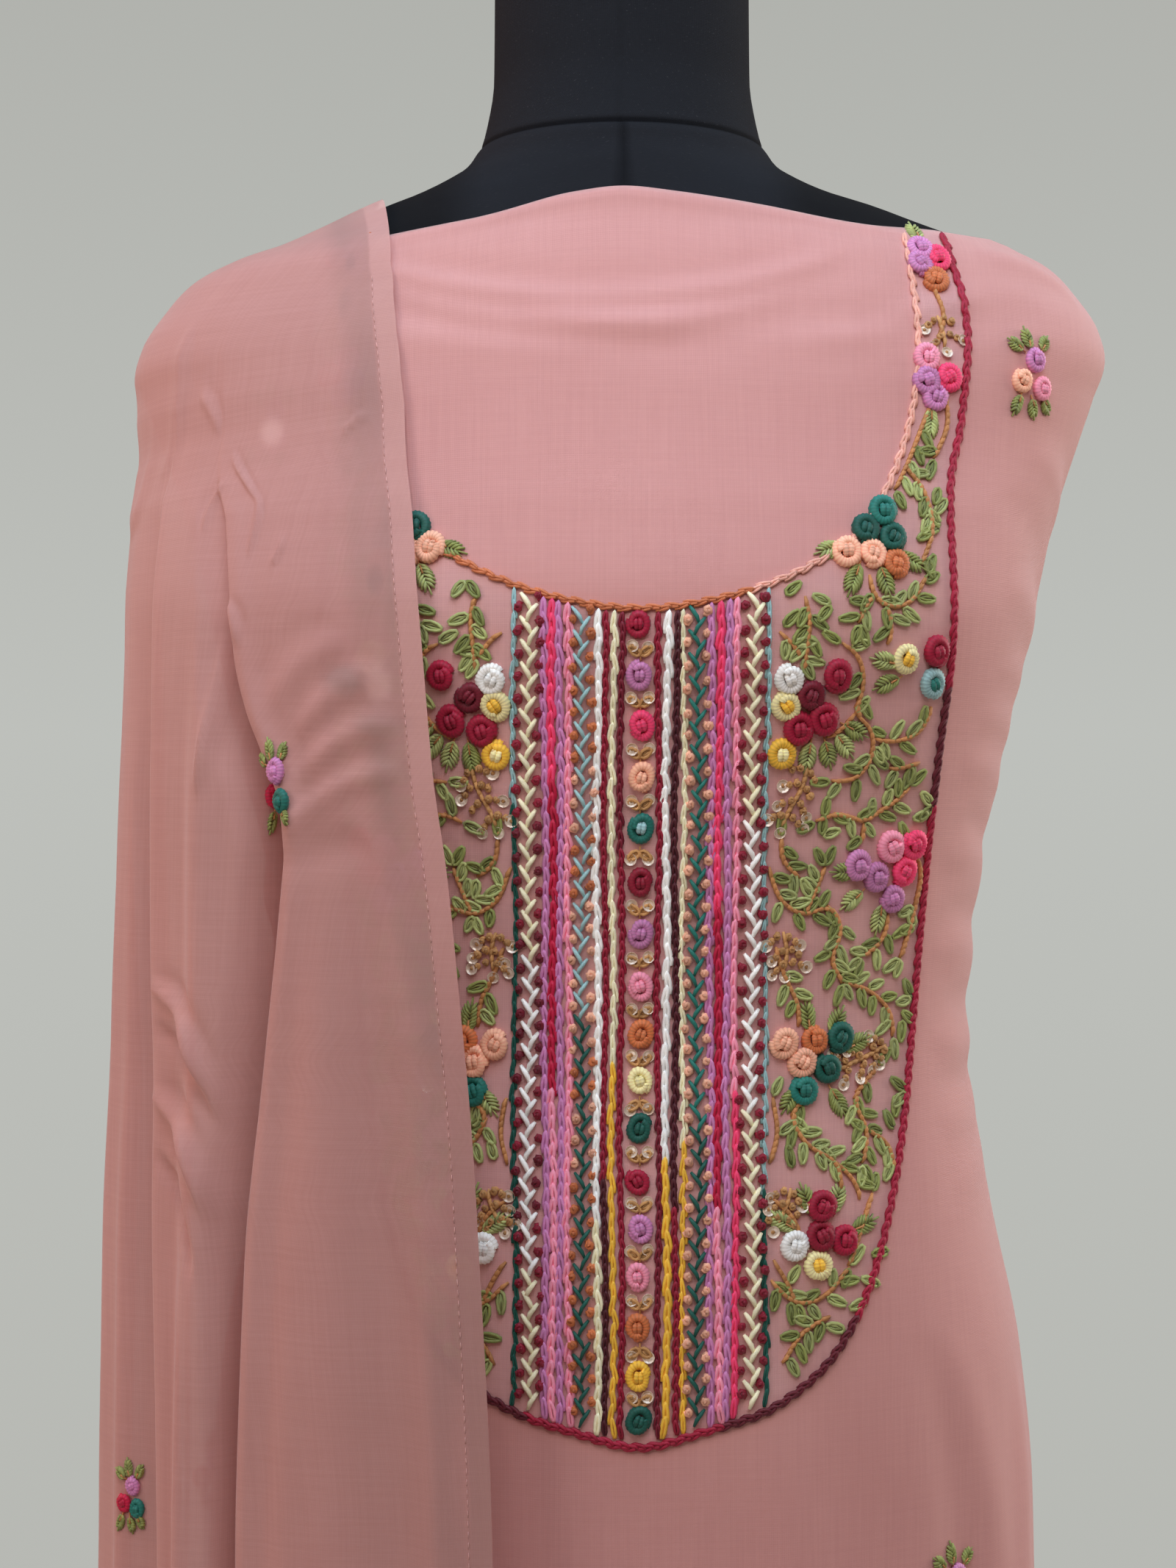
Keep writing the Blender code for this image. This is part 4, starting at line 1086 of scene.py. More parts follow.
def yoke_edges():
    """The plaited chain round the yoke and the finer one along the neck's line."""
    work = Needlework(12)
    for line, dark, light, length, width, radius in (
        (YOKE_EDGE, "edge_dark", "edge_light", 0.0040, 0.0016, 0.00088),
        (NECK_LINE, "neck_rust", "neck_light", 0.0046, 0.0012, 0.00072),
    ):
        path = smooth_line(line, length * 0.80, True)
        for k in range(len(path) - 1):
            (ax, az), (bx, bz) = path[k], path[k + 1]
            heading = math.degrees(math.atan2(bz - az, bx - ax)) + 90
            spot = front.spot(ax, az, heading + (9 if k % 2 else -9))
            if spot is None:
                continue
            # the neck's line is peach to the right and rust below; the yoke's edge is darker in stretches
            if line is NECK_LINE:
                is_dark = ax <= YOKE_MIDDLE + 0.045
            else:
                is_dark = 1.116 < az < 1.164 or az < 0.910 and not -0.038 < ax < 0.041
            work.chain_link(spot, length, width, radius, dark if is_dark else light, sides=5)
    return work.piece("yoke_edge_chains", cotton_thread)


# The roses down the middle, by level and thread, with a gold sprig under each.
MIDDLE_ROSES = (
    (1.1850, "rose_red"), (1.1655, "lilac"), (1.1460, "hot_pink"), (1.1255, "peach"), (1.1060, "teal"),
    (1.0840, "wine"), (1.0640, "lilac"), (1.0430, "pink"), (1.0235, "rust"), (1.0050, "pale_yellow"),
    (0.9865, "dark_green"), (0.9660, "rose_red"), (0.9475, "lilac"), (0.9285, "pink"), (0.9085, "rust"),
    (0.8890, "yellow"), (0.8715, "dark_green"),
)
# Clusters beside the panel: off the yoke's middle and level, then each rose's own offset in millimetres and
# its thread, and the headings in degrees of the leaves round it.
Cluster = namedtuple("Cluster", "off z roses leaves")
CLUSTERS = (
    Cluster(0.1185, 1.3350, ((-3, 1, "lilac"), (5, 5, "hot_pink"), (4, -5, "rust"), (-1, 9, "lilac")), (95,)),
    Cluster(0.1200, 1.2870,
            ((-3, 8, "pink"), (-4, -1, "lilac"), (5, 1, "hot_pink"), (0, -8, "lilac")), (262,)),
    Cluster(0.0915, 1.2205,
            ((5, 10, "teal"), (-3, 3, "dark_green"), (8, 0, "dark_green"), (-10, -6, "peach"), (0, -7, "peach"),
             (9, -11, "rust")), (198, 245, 285, 330)),
    Cluster(0.0690, 1.1520,
            ((-11, 12, "white"), (8, 13, "rose_red"), (-2, 5, "maroon"), (4, -4, "rose_red"),
             (-7, -8, "rose_red"), (-12, 2, "pale_yellow"), (-13, -17, "yellow")), (312, 288, 335, 262)),
    Cluster(0.1110, 1.1690, ((-6, 3, "pale_yellow"), (7, 7, "rose_red"), (6, -6, "sky")), (205, 170)),
    Cluster(0.1000, 1.0870,
            ((2, 10, "pink"), (11, 12, "hot_pink"), (7, 1, "hot_pink"), (-13, 3, "lilac"), (-4, -2, "lilac"),
             (2, -10, "lilac")), (178, 215, 262)),
    Cluster(0.0705, 1.0115,
            ((-13, 8, "peach"), (0, 9, "rust"), (10, 9, "dark_green"), (-5, 0, "peach"), (5, -2, "dark_green"),
             (-5, -11, "teal")), (60, 100, 235, 300, 20)),
    Cluster(0.0730, 0.9395,
            ((0, 14, "rose_red"), (-1, 3, "wine"), (9, 1, "rose_red"), (-11, -1, "white"),
             (-2, -9, "pale_yellow")), (110, 150, 70, 20)),
)
# Vines, each a line of (millimetres off the middle, level in millimetres).
VINES = (
    ((121, 1327), (125, 1314), (121, 1300)), ((118, 1276), (113, 1264), (108, 1252), (102, 1240)),
    ((124, 1283), (125, 1268), (119, 1254)), ((106, 1250), (114, 1240), (117, 1224), (112, 1210)),
    ((90, 1205), (92, 1197), (97, 1193), (103, 1193), (109, 1197), (114, 1206)),
    ((92, 1197), (88, 1192), (86, 1186)), ((97, 1193), (99, 1186), (98, 1178)),
    ((64, 1196), (66, 1187), (65, 1176), (64, 1167)), ((54, 1182), (59, 1178), (63, 1172)),
    ((79, 1178), (85, 1174), (88, 1166), (87, 1157), (85, 1151), (90, 1147), (93, 1140), (91, 1131),
     (85, 1125), (76, 1124)),
    ((85, 1151), (80, 1145), (74, 1141)), ((93, 1141), (101, 1140), (109, 1142), (114, 1146), (117, 1154)),
    ((70, 1108), (77, 1111), (84, 1110), (90, 1108), (96, 1112), (103, 1116), (109, 1122)),
    ((90, 1108), (89, 1099)), ((113, 1132), (108, 1130), (100, 1129)),
    ((51, 1090), (56, 1077), (66, 1071), (76, 1074), (81, 1064), (77, 1053), (82, 1043)),
    ((66, 1071), (70, 1080), (74, 1090)), ((56, 1102), (57, 1092), (64, 1086)),
    ((101, 1070), (99, 1060), (90, 1053)), ((82, 1043), (92, 1040), (102, 1031), (104, 1020)),
    ((54, 1058), (58, 1046), (63, 1036), (64, 1026)), ((109, 1100), (115, 1088), (112, 1070), (107, 1052)),
    ((70, 1000), (61, 991), (67, 979), (79, 971), (81, 960)), ((97, 1008), (87, 996), (92, 983), (90, 970)),
    ((92, 983), (101, 977), (104, 966)), ((52, 972), (55, 984), (53, 998)), ((79, 971), (86, 964), (89, 956)),
    ((94, 958), (89, 944), (84, 930)), ((52, 926), (62, 917), (74, 919), (84, 930)),
    ((76, 911), (65, 905), (57, 893)), ((62, 917), (58, 926), (53, 934)), ((53, 958), (60, 952), (64, 944)),
)
# Gold sprigs of knots and sequins: off the middle and level in millimetres, heading in degrees and length
# in millimetres.
SPRIGS = (
    (66, 1130, 250, 26), (57, 1064, 275, 16), (101, 1017, 205, 22), (60, 962, 250, 16), (122, 1314, 280, 14),
)
# roses whose short coils are in another thread, beside the panel and down its middle
HEARTS = {"pale_yellow": "yellow", "yellow": "pale_yellow", "sky": "teal"}
MIDDLE_HEARTS = {"teal": "sky"}
GREENS = ("leaf", "leaf_light")
PANEL_SIDE = 0.0520        # no leaf lies nearer the yoke's middle, where the panel's columns stand


def heading_of(start, end):
    return math.degrees(math.atan2(end[1] - start[1], end[0] - start[0]))


def stepped(place, heading, reach):
    """The place this far from another one, at a heading in degrees up from +X."""
    a = math.radians(heading)
    return place[0] + reach * math.cos(a), place[1] + reach * math.sin(a)


def beside_panel(side, place, heading):
    """A spot to the right of the panel, or mirrored to its left."""
    return front.spot(YOKE_MIDDLE + side * place[0], place[1], side * (heading - 90))


def side_flowers():
    """The vines, leaves and roses on both sides of the panel, the left mirrored from the right, and the roses
    down its middle."""
    roses, greens = Needlework(21), Needlework(22)
    chance = random.Random(23)
    edge = smooth_line(YOKE_EDGE, 0.004)

    def has_room(middle, tip, taken):
        """Whether a leaf would stay off all that is sewn, inside the yoke and below the neck's line."""
        for x, z, room in taken:
            near_middle = math.hypot(middle[0] - x, middle[1] - z) <= room + 0.0011
            if near_middle or math.hypot(tip[0] - x, tip[1] - z) <= room - 0.0004:
                return False
        off_edge = np.hypot(edge[:, 0] - tip[0], edge[:, 1] - tip[1]).min() >= 0.0042
        within = tip[0] < np.interp(tip[1], edge[::-1, 1], edge[::-1, 0]) - 0.001
        over_neck = tip[0] < neck_half[0, 0] and tip[1] > neck_level(tip[0]) - 0.002
        neck_off = np.interp(tip[1], neck_half[::-1, 1], neck_half[::-1, 0])
        past_strap = tip[1] > 1.22 and tip[0] < neck_off + 0.002
        return off_edge and within and tip[0] >= PANEL_SIDE and not over_neck and not past_strap

    def put_leaf(side, place, heading, taken):
        """One daisy-loop leaf at a place, if it has room."""
        length = chance.uniform(0.0076, 0.0100)
        base = stepped(place, heading, 0.0010)
        tip = stepped(base, heading, length)
        middle = ((base[0] + tip[0]) / 2, (base[1] + tip[1]) / 2)
        if not has_room(middle, tip, taken):
            return False
        spot = beside_panel(side, base, heading)
        greens.loop_leaf(spot, length, chance.uniform(0.0042, 0.0052), chance.choice(GREENS))
        taken.append((*middle, 0.0012))
        return True

    for side in (1, -1):
        taken = []        # places already sewn on, as off the middle, level and the room they need
        for cluster in CLUSTERS:
            for right, up, colour in cluster.roses:
                off = cluster.off + right * 0.001 + chance.uniform(-0.0006, 0.0006)
                z = cluster.z + up * 0.001 + chance.uniform(-0.0006, 0.0006)
                spot = front.spot(YOKE_MIDDLE + side * off, z, chance.uniform(-30, 30))
                if spot:
                    roses.rose(spot, chance.uniform(0.0065, 0.0072), colour, HEARTS.get(colour))
                taken.append((off, z, 0.0062))
        for cluster in CLUSTERS:
            reach = 0.009 if len(cluster.roses) < 4 else 0.0125
            for heading in cluster.leaves:
                foot = stepped((cluster.off, cluster.z), heading, reach)
                spot = beside_panel(side, foot, heading)
                if foot[0] >= PANEL_SIDE + 0.0005 and spot:
                    greens.fishbone_leaf(spot, chance.uniform(0.0120, 0.0145), 0.0075, chance.choice(GREENS))
                    taken.append((*stepped(foot, heading, 0.006), 0.0058))
        for off, z, heading, length in SPRIGS:
            taken.append((*stepped((off * 0.001, z * 0.001), heading, length * 0.0005), 0.0075))
        for vine in VINES:
            line = smooth_line(np.array(vine) * 0.001, 0.0036)
            greens.stem(front, [(YOKE_MIDDLE + side * x, z) for x, z in line], "vine")
            hand = chance.choice((-1, 1))
            for k in range(1, len(line)):
                hand = -hand
                run = heading_of(line[k - 1], line[min(k + 1, len(line) - 1)])
                put_leaf(side, line[k], run + hand * chance.uniform(34, 62), taken)
            put_leaf(side, line[-1], run, taken)
            put_leaf(side, line[0], heading_of(line[1], line[0]), taken)
        # odd leaves in pairs wherever the ground is still bare
        for _ in range(900):
            place = chance.uniform(0.054, 0.124), chance.uniform(0.885, 1.30)
            if all(math.hypot(place[0] - x, place[1] - z) > room + 0.0058 for x, z, room in taken):
                heading = chance.uniform(0, 360)
                if put_leaf(side, place, heading, taken):
                    put_leaf(side, place, heading + chance.uniform(60, 80), taken)
    for z, colour in MIDDLE_ROSES:
        spot = front.spot(YOKE_MIDDLE + chance.uniform(-0.0010, 0.0006), z, chance.uniform(-25, 25))
        roses.rose(spot, chance.uniform(0.0054, 0.0059), colour, MIDDLE_HEARTS.get(colour), (1.20, 1.34))
    return roses.piece("yoke_roses", cotton_thread), greens.piece("yoke_vines_and_leaves", cotton_thread)


def brass_sequin():
    made, wire, shader = finish("brass_sequin", 0.3, Metallic=0.15, Coat_Weight=0.5, Coat_Roughness=0.1)
    place = wire.node("TexCoord", out="Object")
    worn = wire.noise(place, 500.0, 2.0)
    wire.plug(shader.inputs["Base Color"], wire.blend(worn, (0.72, 0.54, 0.40), (0.92, 0.80, 0.68)))
    wire.plug(shader.inputs["Roughness"], worn * 0.3 + 0.16)
    return made


# a sequin's rings from its hole to its rim: share of its radius and height over the cloth
SEQUIN_RINGS = ((0.30, 0.0010), (0.72, 0.0009), (1.0, 0.0015))
SEQUIN_SIDES, SEQUIN_WALL, SEQUIN_LEAN = 11, 0.00015, 0.0005


class Sequins:
    """Small cupped discs with a hole, each sewn down by a knot in the middle."""

    def __init__(self):
        self.points, self.faces = [], []

    def add(self, spot, size, lean):
        start = len(self.points)
        tip = spot.right * math.cos(lean) + spot.up * math.sin(lean)
        for reach, height in SEQUIN_RINGS:
            for s in range(SEQUIN_SIDES):
                a = 2 * math.pi * s / SEQUIN_SIDES
                flat = spot.right * math.cos(a) + spot.up * math.sin(a)
                rise = height + SEQUIN_LEAN * flat.dot(tip)
                self.points.append(tuple(spot.place + flat * size * reach + spot.out * rise))
        for inner in (start, start + SEQUIN_SIDES):
            outer = inner + SEQUIN_SIDES
            for s in range(SEQUIN_SIDES):
                t = (s + 1) % SEQUIN_SIDES
                self.faces.append((inner + s, outer + s, outer + t, inner + t))

    def piece(self, name, material):
        made = put(name, self.points, self.faces, material)
        made.modifiers.new("wall", "SOLIDIFY").thickness = SEQUIN_WALL
        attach(made, "root")
        return made


def gold_work():
    """The sprigs of gold thread, knots and sequins beside the panel and between its roses."""
    work, sequins = Needlework(31), Sequins()
    chance = work.chance

    def sequin(x, z, size=0.0024):
        spot = front.spot(x, z)
        if spot:
            sequins.add(spot, size, chance.uniform(0, 6.28))
            work.knot(spot._replace(place=spot.place + spot.out * 0.0004), 0.00100, "gold")

    for side in (1, -1):
        for off, level, heading, length in SPRIGS:
            a = math.radians(heading)
            count = max(2, round(length / 6.0))
            line = []
            for k in range(count + 1):
                u = k / count * length * 0.001
                x = off * 0.001 + u * math.cos(a) + 0.0012 * math.sin(k * 1.3)
                line.append((YOKE_MIDDLE + side * x, level * 0.001 + u * math.sin(a)))
            work.stem(front, line, "gold", 0.00105)
            for x, z in line[:-1]:
                for hand in (-1, 1):
                    b = a + hand * chance.uniform(0.7, 1.1)
                    for reach in (0.0028, 0.0062):
                        spot = front.spot(x + side * reach * math.cos(b), z + reach * math.sin(b))
                        if spot:
                            work.knot(spot, chance.uniform(0.0018, 0.0022), "gold")
                    if chance.random() < 0.75:
                        size = chance.uniform(0.0023, 0.0027)
                        sequin(x + side * 0.0088 * math.cos(b), z + 0.0088 * math.sin(b), size)
            x, z = line[-1]
            sequin(x + side * 0.002 * math.cos(a), z + 0.002 * math.sin(a))
    for k, ((above, _), (below, _)) in enumerate(zip(MIDDLE_ROSES, MIDDLE_ROSES[1:])):
        # two sequins over a V of gold loops on a short stem; now and then it stands on its head
        level = (above + below) / 2 - 0.0004
        way, flip = (-1, 180) if k % 5 == 4 else (1, 0)
        for hand in (-1, 1):
            x = YOKE_MIDDLE + hand * chance.uniform(0.0030, 0.0037)
            spot = front.spot(YOKE_MIDDLE + hand * 0.0003, level - way * 0.0018, flip - hand * 52 * way)
            work.loop_leaf(spot, 0.0056, 0.0040, "gold")
            sequin(x, level + way * chance.uniform(0.0010, 0.0018))
        spot = front.spot(YOKE_MIDDLE, level - way * 0.0018)
        work.on(spot, [(0, way * 0.0010, 0.0006), (0.0002, way * -0.0022, 0.0008)], 0.0007, work.tint("gold"))
    return work.piece("gold_sprigs", cotton_thread), sequins.piece("gold_sequins", brass_sequin())


# Small sprays strewn over the cloth: three roses between two tufts of leaves, worked in the same cotton. One
# on the turned edge of a fold shows only a share of its breadth.
Spray = namedtuple("Spray", "x z heading seen scale", defaults=(1.0, 1.0))
FRONT_SPRAYS = (
    Spray(0.1690, 1.2910, 4), Spray(-0.1450, 1.2670, -4), Spray(0.1330, 0.7920, -3), Spray(-0.1180, 0.7400, 5),
    Spray(0.0080, 0.7300, 2), Spray(0.0760, 0.6050, -6), Spray(-0.0640, 0.5900, 4), Spray(0.1380, 0.5000, 3),
    Spray(-0.1350, 0.4900, -4), Spray(0.0080, 0.4600, 3),
)
BACK_SPRAYS = (
    Spray(0.1450, 1.2700, -4), Spray(-0.1400, 1.2700, 4), Spray(0.0500, 1.1700, 3), Spray(-0.0500, 1.1500, -3),
    Spray(0.0000, 1.0200, 4), Spray(0.0950, 0.9000, -5), Spray(-0.0950, 0.8800, 4), Spray(0.0200, 0.7500, 3),
    Spray(0.1100, 0.6200, -3), Spray(-0.1050, 0.6000, 5), Spray(0.0100, 0.4700, -4),
)
# within a spray: each rose's place, and each leaf's place, heading and length
SPRAY_ROSES = ((0.0020, 0.0075), (-0.0050, -0.0010), (0.0040, -0.0045))
SPRAY_LEAVES = (
    (0.0000, 0.0120, 10, 0.009775), (-0.0035, 0.0115, 55, 0.008625), (0.0050, 0.0115, -38, 0.008050),
    (-0.0060, -0.0070, 150, 0.009775), (-0.0010, -0.0085, 190, 0.008625), (0.0045, -0.0085, 215, 0.007475),
)
SPRAY_BREADTH = 0.0056        # of a rose's radius and of a leaf
KAMEEZ_THREADS, SHAWL_THREADS = ("lilac", "peach", "pink"), ("lilac", "crimson", "teal")


def spray(work, ground, place, chance, threads):
    breadth = SPRAY_BREADTH * place.scale

    def spot(right, up, heading):
        across, rise = turned(right * place.scale, up * place.scale, math.radians(place.heading))
        found = ground.spot(place.x + across * place.seen, place.z + rise, heading + place.heading)
        if found and place.seen < 1:
            narrow = Vector((place.seen, 1, 1))
            found = found._replace(right=found.right * narrow, up=found.up * narrow)
        return found

    for (right, up), colour in zip(SPRAY_ROSES, threads):
        found = spot(right, up, chance.uniform(-30, 30))
        if found:
            work.rose(found, breadth, colour)
    for right, up, heading, length in SPRAY_LEAVES:
        found = spot(right, up, heading)
        if found:
            work.fishbone_leaf(found, length * place.scale, breadth, "leaf")


def sprays_piece():
    work, chance = Needlework(41), random.Random(42)
    back = Ground(back_points, 1.0)
    for ground, places in ((front, FRONT_SPRAYS), (back, BACK_SPRAYS)):
        for place in places:
            spray(work, ground, place, chance, KAMEEZ_THREADS)
    return work.piece("kameez_sprays", cotton_thread)


yoke_roses, yoke_greens = side_flowers()
gold_sprigs, gold_sequins = gold_work()
for sewn in (columns_piece(), yoke_edges(), yoke_roses, yoke_greens, gold_sprigs, sprays_piece()):
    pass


# Salwar. Loose trousers in plain peach santoon, hidden under the kameez: a belt pulled in round the hips,
# two wide legs gathered into it that fall in pleats, and two narrow stiffened cuffs at the ankles.
SALWAR_WALL = 0.0006
BELT_TOP, BELT_FOOT, CROTCH, CUFF_TOP, CUFF_FOOT = 1.020, 0.870, 0.690, 0.092, 0.052
LEG_CENTRE, POLE_ROOM, LEG_PLEATS, SEAM_GAP = 0.098, 0.026, 5, 0.0006
BELT_EASE = Sections(
    (1.020, 0.0016, 0.0016, 0.0016),
    (0.980, 0.0030, 0.0030, 0.0030),
    (0.850, 0.0042, 0.0042, 0.0042),
    (0.735, 0.0062, 0.0062, 0.0062),
    (0.600, 0.0062, 0.0062, 0.0062),
)
# each leg below the crotch: half its width, half its depth and the depth of its pleats
LEG = Sections(
    (0.092, 0.0510, 0.0530, 0.0030),
    (0.150, 0.0600, 0.0660, 0.0080),
    (0.450, 0.0740, 0.0860, 0.0090),
    (0.690, 0.0710, 0.0880, 0.0040),
    (0.900, 0.0710, 0.0880, 0.0000),
)
CUFF = Sections((0.052, 0.0525, 0.0545, 0.0), (0.092, 0.0510, 0.0530, 0.003))
OUTER, INNER = 112, 32        # columns of a leg's outer and inner side


def santoon():
    made, wire, shader = finish("peach_santoon", 0.5, Sheen_Weight=0.3, Sheen_Roughness=0.35)
    lay, across, down = flat_cloth(wire)
    twill, streak = yarns(across + down * 0.6, 0.0006), slubs(lay, 700.0, 30.0, 2.0)
    share = streak * 1.3 + twill * 0.08 - 0.15
    wire.plug(shader.inputs["Base Color"], wire.blend(share, (0.54, 0.24, 0.205), (0.66, 0.33, 0.28)))
    wire.relief(shader, 0.25, 0.0002, twill * 0.4 + streak)
    return made


def leg_tube(z, sizes):
    """Rings of a free leg or cuff, pleated on its outer side."""
    half_width, half_depth, pleat = (values[:, None] for values in sizes.at(z))
    share = np.arange(OUTER + INNER)[None]
    outer = share <= OUTER
    angle = np.where(outer, mix(-125, 125, share / OUTER), mix(125, 235, (share - OUTER) / INNER))
    beat = 2 * math.pi * LEG_PLEATS * share / OUTER
    swell = np.where(outer, pleat * (0.5 - 0.5 * np.cos(beat + 0.5 * np.sin(beat))), 0)
    turn = np.radians(angle)
    x = LEG_CENTRE + (half_width + swell) * np.cos(turn)
    return np.stack([x, (half_depth + swell) * np.sin(turn), z[:, None] + 0 * x], axis=-1)


def leg_over_form(z):
    """Rings of a leg where it lies over the form: half of the belt's ring, and back past the pole."""
    share = np.arange(OUTER + 1) / OUTER
    outer = layer(180 * share[None], z[:, None], BELT_EASE.at(z[:, None]))
    outer[:, 0, 0] = outer[:, -1, 0] = SEAM_GAP / 2
    share = (np.arange(1, INNER) / INNER)[None]
    back, front = outer[:, -1, 1, None], outer[:, 0, 1, None]
    x = (POLE_ROOM + 0.0016) * np.sin(math.pi * share) + 0 * back
    inner = np.stack([x, mix(back, front, share), z[:, None] + 0 * share], axis=-1)
    return np.concatenate([outer, inner], axis=1)


def leg_wrinkles(z, seed):
    """Soft gathers that start at the belt and at the cuff, and a few slack rings above the cuff."""
    chance = random.Random(seed)
    share = np.arange(OUTER + INNER)[None] / (OUTER + INNER)
    total = np.zeros((len(z), OUTER + INNER))
    for _ in range(26):
        where, reach, high = chance.random() * 0.76, chance.uniform(0.05, 0.16), chance.random() < 0.6
        start = BELT_FOOT if high else CUFF_TOP
        fade = np.exp(-np.abs(z[:, None] - start) / reach) * chance.uniform(0.0008, 0.0022)
        total += fade * bell((share - where) / chance.uniform(0.006, 0.012))
    for _ in range(7):
        level, tilt = chance.uniform(0.12, 0.30), chance.uniform(-0.03, 0.03)
        middle, reach = chance.random() * 0.7, chance.uniform(0.10, 0.2)
        off = (z[:, None] - level - tilt * (share - middle) * 4) / chance.uniform(0.005, 0.010)
        total += chance.uniform(0.0008, 0.002) * np.exp(-off * off - ((share - middle) / reach) ** 2)
    return total


santoon_cloth = santoon()
salwar_pieces = []
belt_rows = levels((BELT_TOP, 0.0055), (BELT_FOOT, 0))
belt_turn, belt_z = np.meshgrid(np.arange(0, 360, 2.0), belt_rows)
gather = 0.0006 * np.sin(np.radians(belt_turn * 41)) * bell((BELT_TOP - belt_z) / 0.012)
belt_points = layer(belt_turn, belt_z, BELT_EASE.at(belt_z) + gather + 0.0003)
belt = woven("salwar_belt_piece", belt_points, santoon_cloth, SALWAR_WALL, closed=True)
salwar_pieces.append((belt, "salwar_belt", (0.90, 0.17), "form_body"))
leg_rows = levels((BELT_FOOT - SEAM_GAP, 0.0062), (CROTCH, 0.0072), (CUFF_TOP, 0))
cuff_rows = levels((CUFF_TOP - SEAM_GAP, 0.003), (CUFF_FOOT, 0))
for name, side, seed in (("left", -1, 3), ("right", 1, 8)):
    free = (1 - ramp(leg_rows, 0.560, 0.735))[:, None, None]
    rings = mix(leg_over_form(leg_rows), leg_tube(leg_rows, LEG), free)
    away = (rings - (LEG_CENTRE, 0, 0)) * (1, 1, 0)
    away /= np.linalg.norm(away, axis=-1, keepdims=True)
    inner_side = ramp(np.arange(OUTER + INNER), OUTER * 0.97, OUTER)[None]
    fades = 1 - inner_side * (leg_rows > CROTCH - 0.05)[:, None]
    rings = rings + away * (leg_wrinkles(leg_rows, seed) * fades)[..., None]
    # above the crotch the two legs are one tube, so the inner sides are left out there
    open_quads = (leg_rows[:-1] > CROTCH + 0.001)[:, None] & (np.arange(OUTER + INNER)[None] >= OUTER)
    cuff_rings = leg_tube(cuff_rows, CUFF)
    if side < 0:
        # the left side mirrors the right one, and its columns run the other way round
        rings, cuff_rings = (ring[:, ::-1] * (-1, 1, 1) for ring in (rings, cuff_rings))
        open_quads = np.roll(open_quads[:, ::-1], -1, axis=1)
    leg = woven(f"salwar_leg_{name}_piece", rings, santoon_cloth, closed=True, gaps=(open_quads,))
    salwar_pieces.append((leg, f"salwar_leg_{name}", (0.60, 0.80), "salwar_belt"))
    cuff = woven(f"salwar_cuff_{name}_piece", cuff_rings, santoon_cloth, closed=True)
    salwar_pieces.append((cuff, f"salwar_cuff_{name}", (0.34, 0.04), f"salwar_leg_{name}"))
for piece, node, cut, carrier in salwar_pieces:
    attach(piece, "root")
    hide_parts(node)


# Dupatta. One long sheet of sheer peach chiffon laid over the shoulder on the -X side. It falls to the hem
# in front and behind, drops off the shoulder's end in deep folds, and has a narrow hem turned on its edge.
DUPATTA_TOP, DUPATTA_HEM, DUPATTA_SIDE = 1.335, 0.220, -95.0
DUPATTA_INNER_X = -0.1075
# below this level the two falls part at the side, each by this many degrees at the hem
DUPATTA_PART, DUPATTA_PART_TURN = 0.660, 11.0
# rows of level and ease over the form: in front, at the side and behind
DUPATTA_EASE = Sections(
    (1.400, 0.0034, 0.0034, 0.0034),
    (1.350, 0.0042, 0.0034, 0.0036),
    (1.300, 0.0052, 0.0038, 0.0048),
    (1.287, 0.0054, 0.0092, 0.0056),
    (1.257, 0.0058, 0.0334, 0.0080),
    (1.235, 0.0060, 0.0450, 0.0105),
    (1.209, 0.0064, 0.0554, 0.0130),
    (1.190, 0.0075, 0.0610, 0.0150),
    (1.144, 0.0210, 0.0735, 0.0230),
    (1.080, 0.0420, 0.0915, 0.0330),
    (1.020, 0.0530, 0.0985, 0.0400),
    (0.940, 0.0475, 0.0755, 0.0300),
    (0.880, 0.0450, 0.0593, 0.0225),
    (0.820, 0.0480, 0.0556, 0.0215),
    (0.735, 0.0620, 0.0620, 0.0290),
    (0.600, 0.0760, 0.0760, 0.0420),
    (0.330, 0.0920, 0.0900, 0.0580),
    (0.220, 0.0950, 0.0930, 0.0620),
)
# rows of level and the turns of the inner hems, in front and behind
INNER_HEMS = Sections(
    (1.335, -29.3, -153.0),
    (1.327, -27.8, -153.2),
    (1.305, -25.6, -153.6),
    (1.285, -25.0, -154.0),
    (1.226, -22.9, -156.0),
    (1.184, -21.7, -157.0),
    (1.125, -20.1, -157.7),
    (1.090, -18.6, -158.1),
    (1.043, -17.2, -158.5),
    (0.959, -15.1, -159.0),
    (0.823, -13.3, -160.0),
    (0.220, -11.5, -161.0),
)
# Two deep tucks run down the front fall, the part nearer the middle lapped over the part nearer the side:
# rows of level, turn of the lapping edge, depth and how many degrees it takes to come up again.
FIRST_TUCK = Sections(
    (1.335, -51.5, 0.000, 7), (1.262, -50.5, 0.0006, 7), (1.229, -48.4, 0.003, 7), (1.196, -46.6, 0.005, 7),
    (1.174, -45.8, 0.007, 7.5), (1.153, -43.8, 0.011, 8), (1.134, -41.0, 0.018, 8.5),
    (1.117, -38.8, 0.026, 8.5), (1.096, -37.9, 0.034, 8.0), (1.070, -38.5, 0.038, 8.0),
    (0.997, -40.9, 0.040, 7.5), (0.940, -42.3, 0.040, 6.5), (0.815, -43.2, 0.036, 5.0),
    (0.600, -42.4, 0.038, 6.0), (0.220, -40.9, 0.040, 7.0),
)
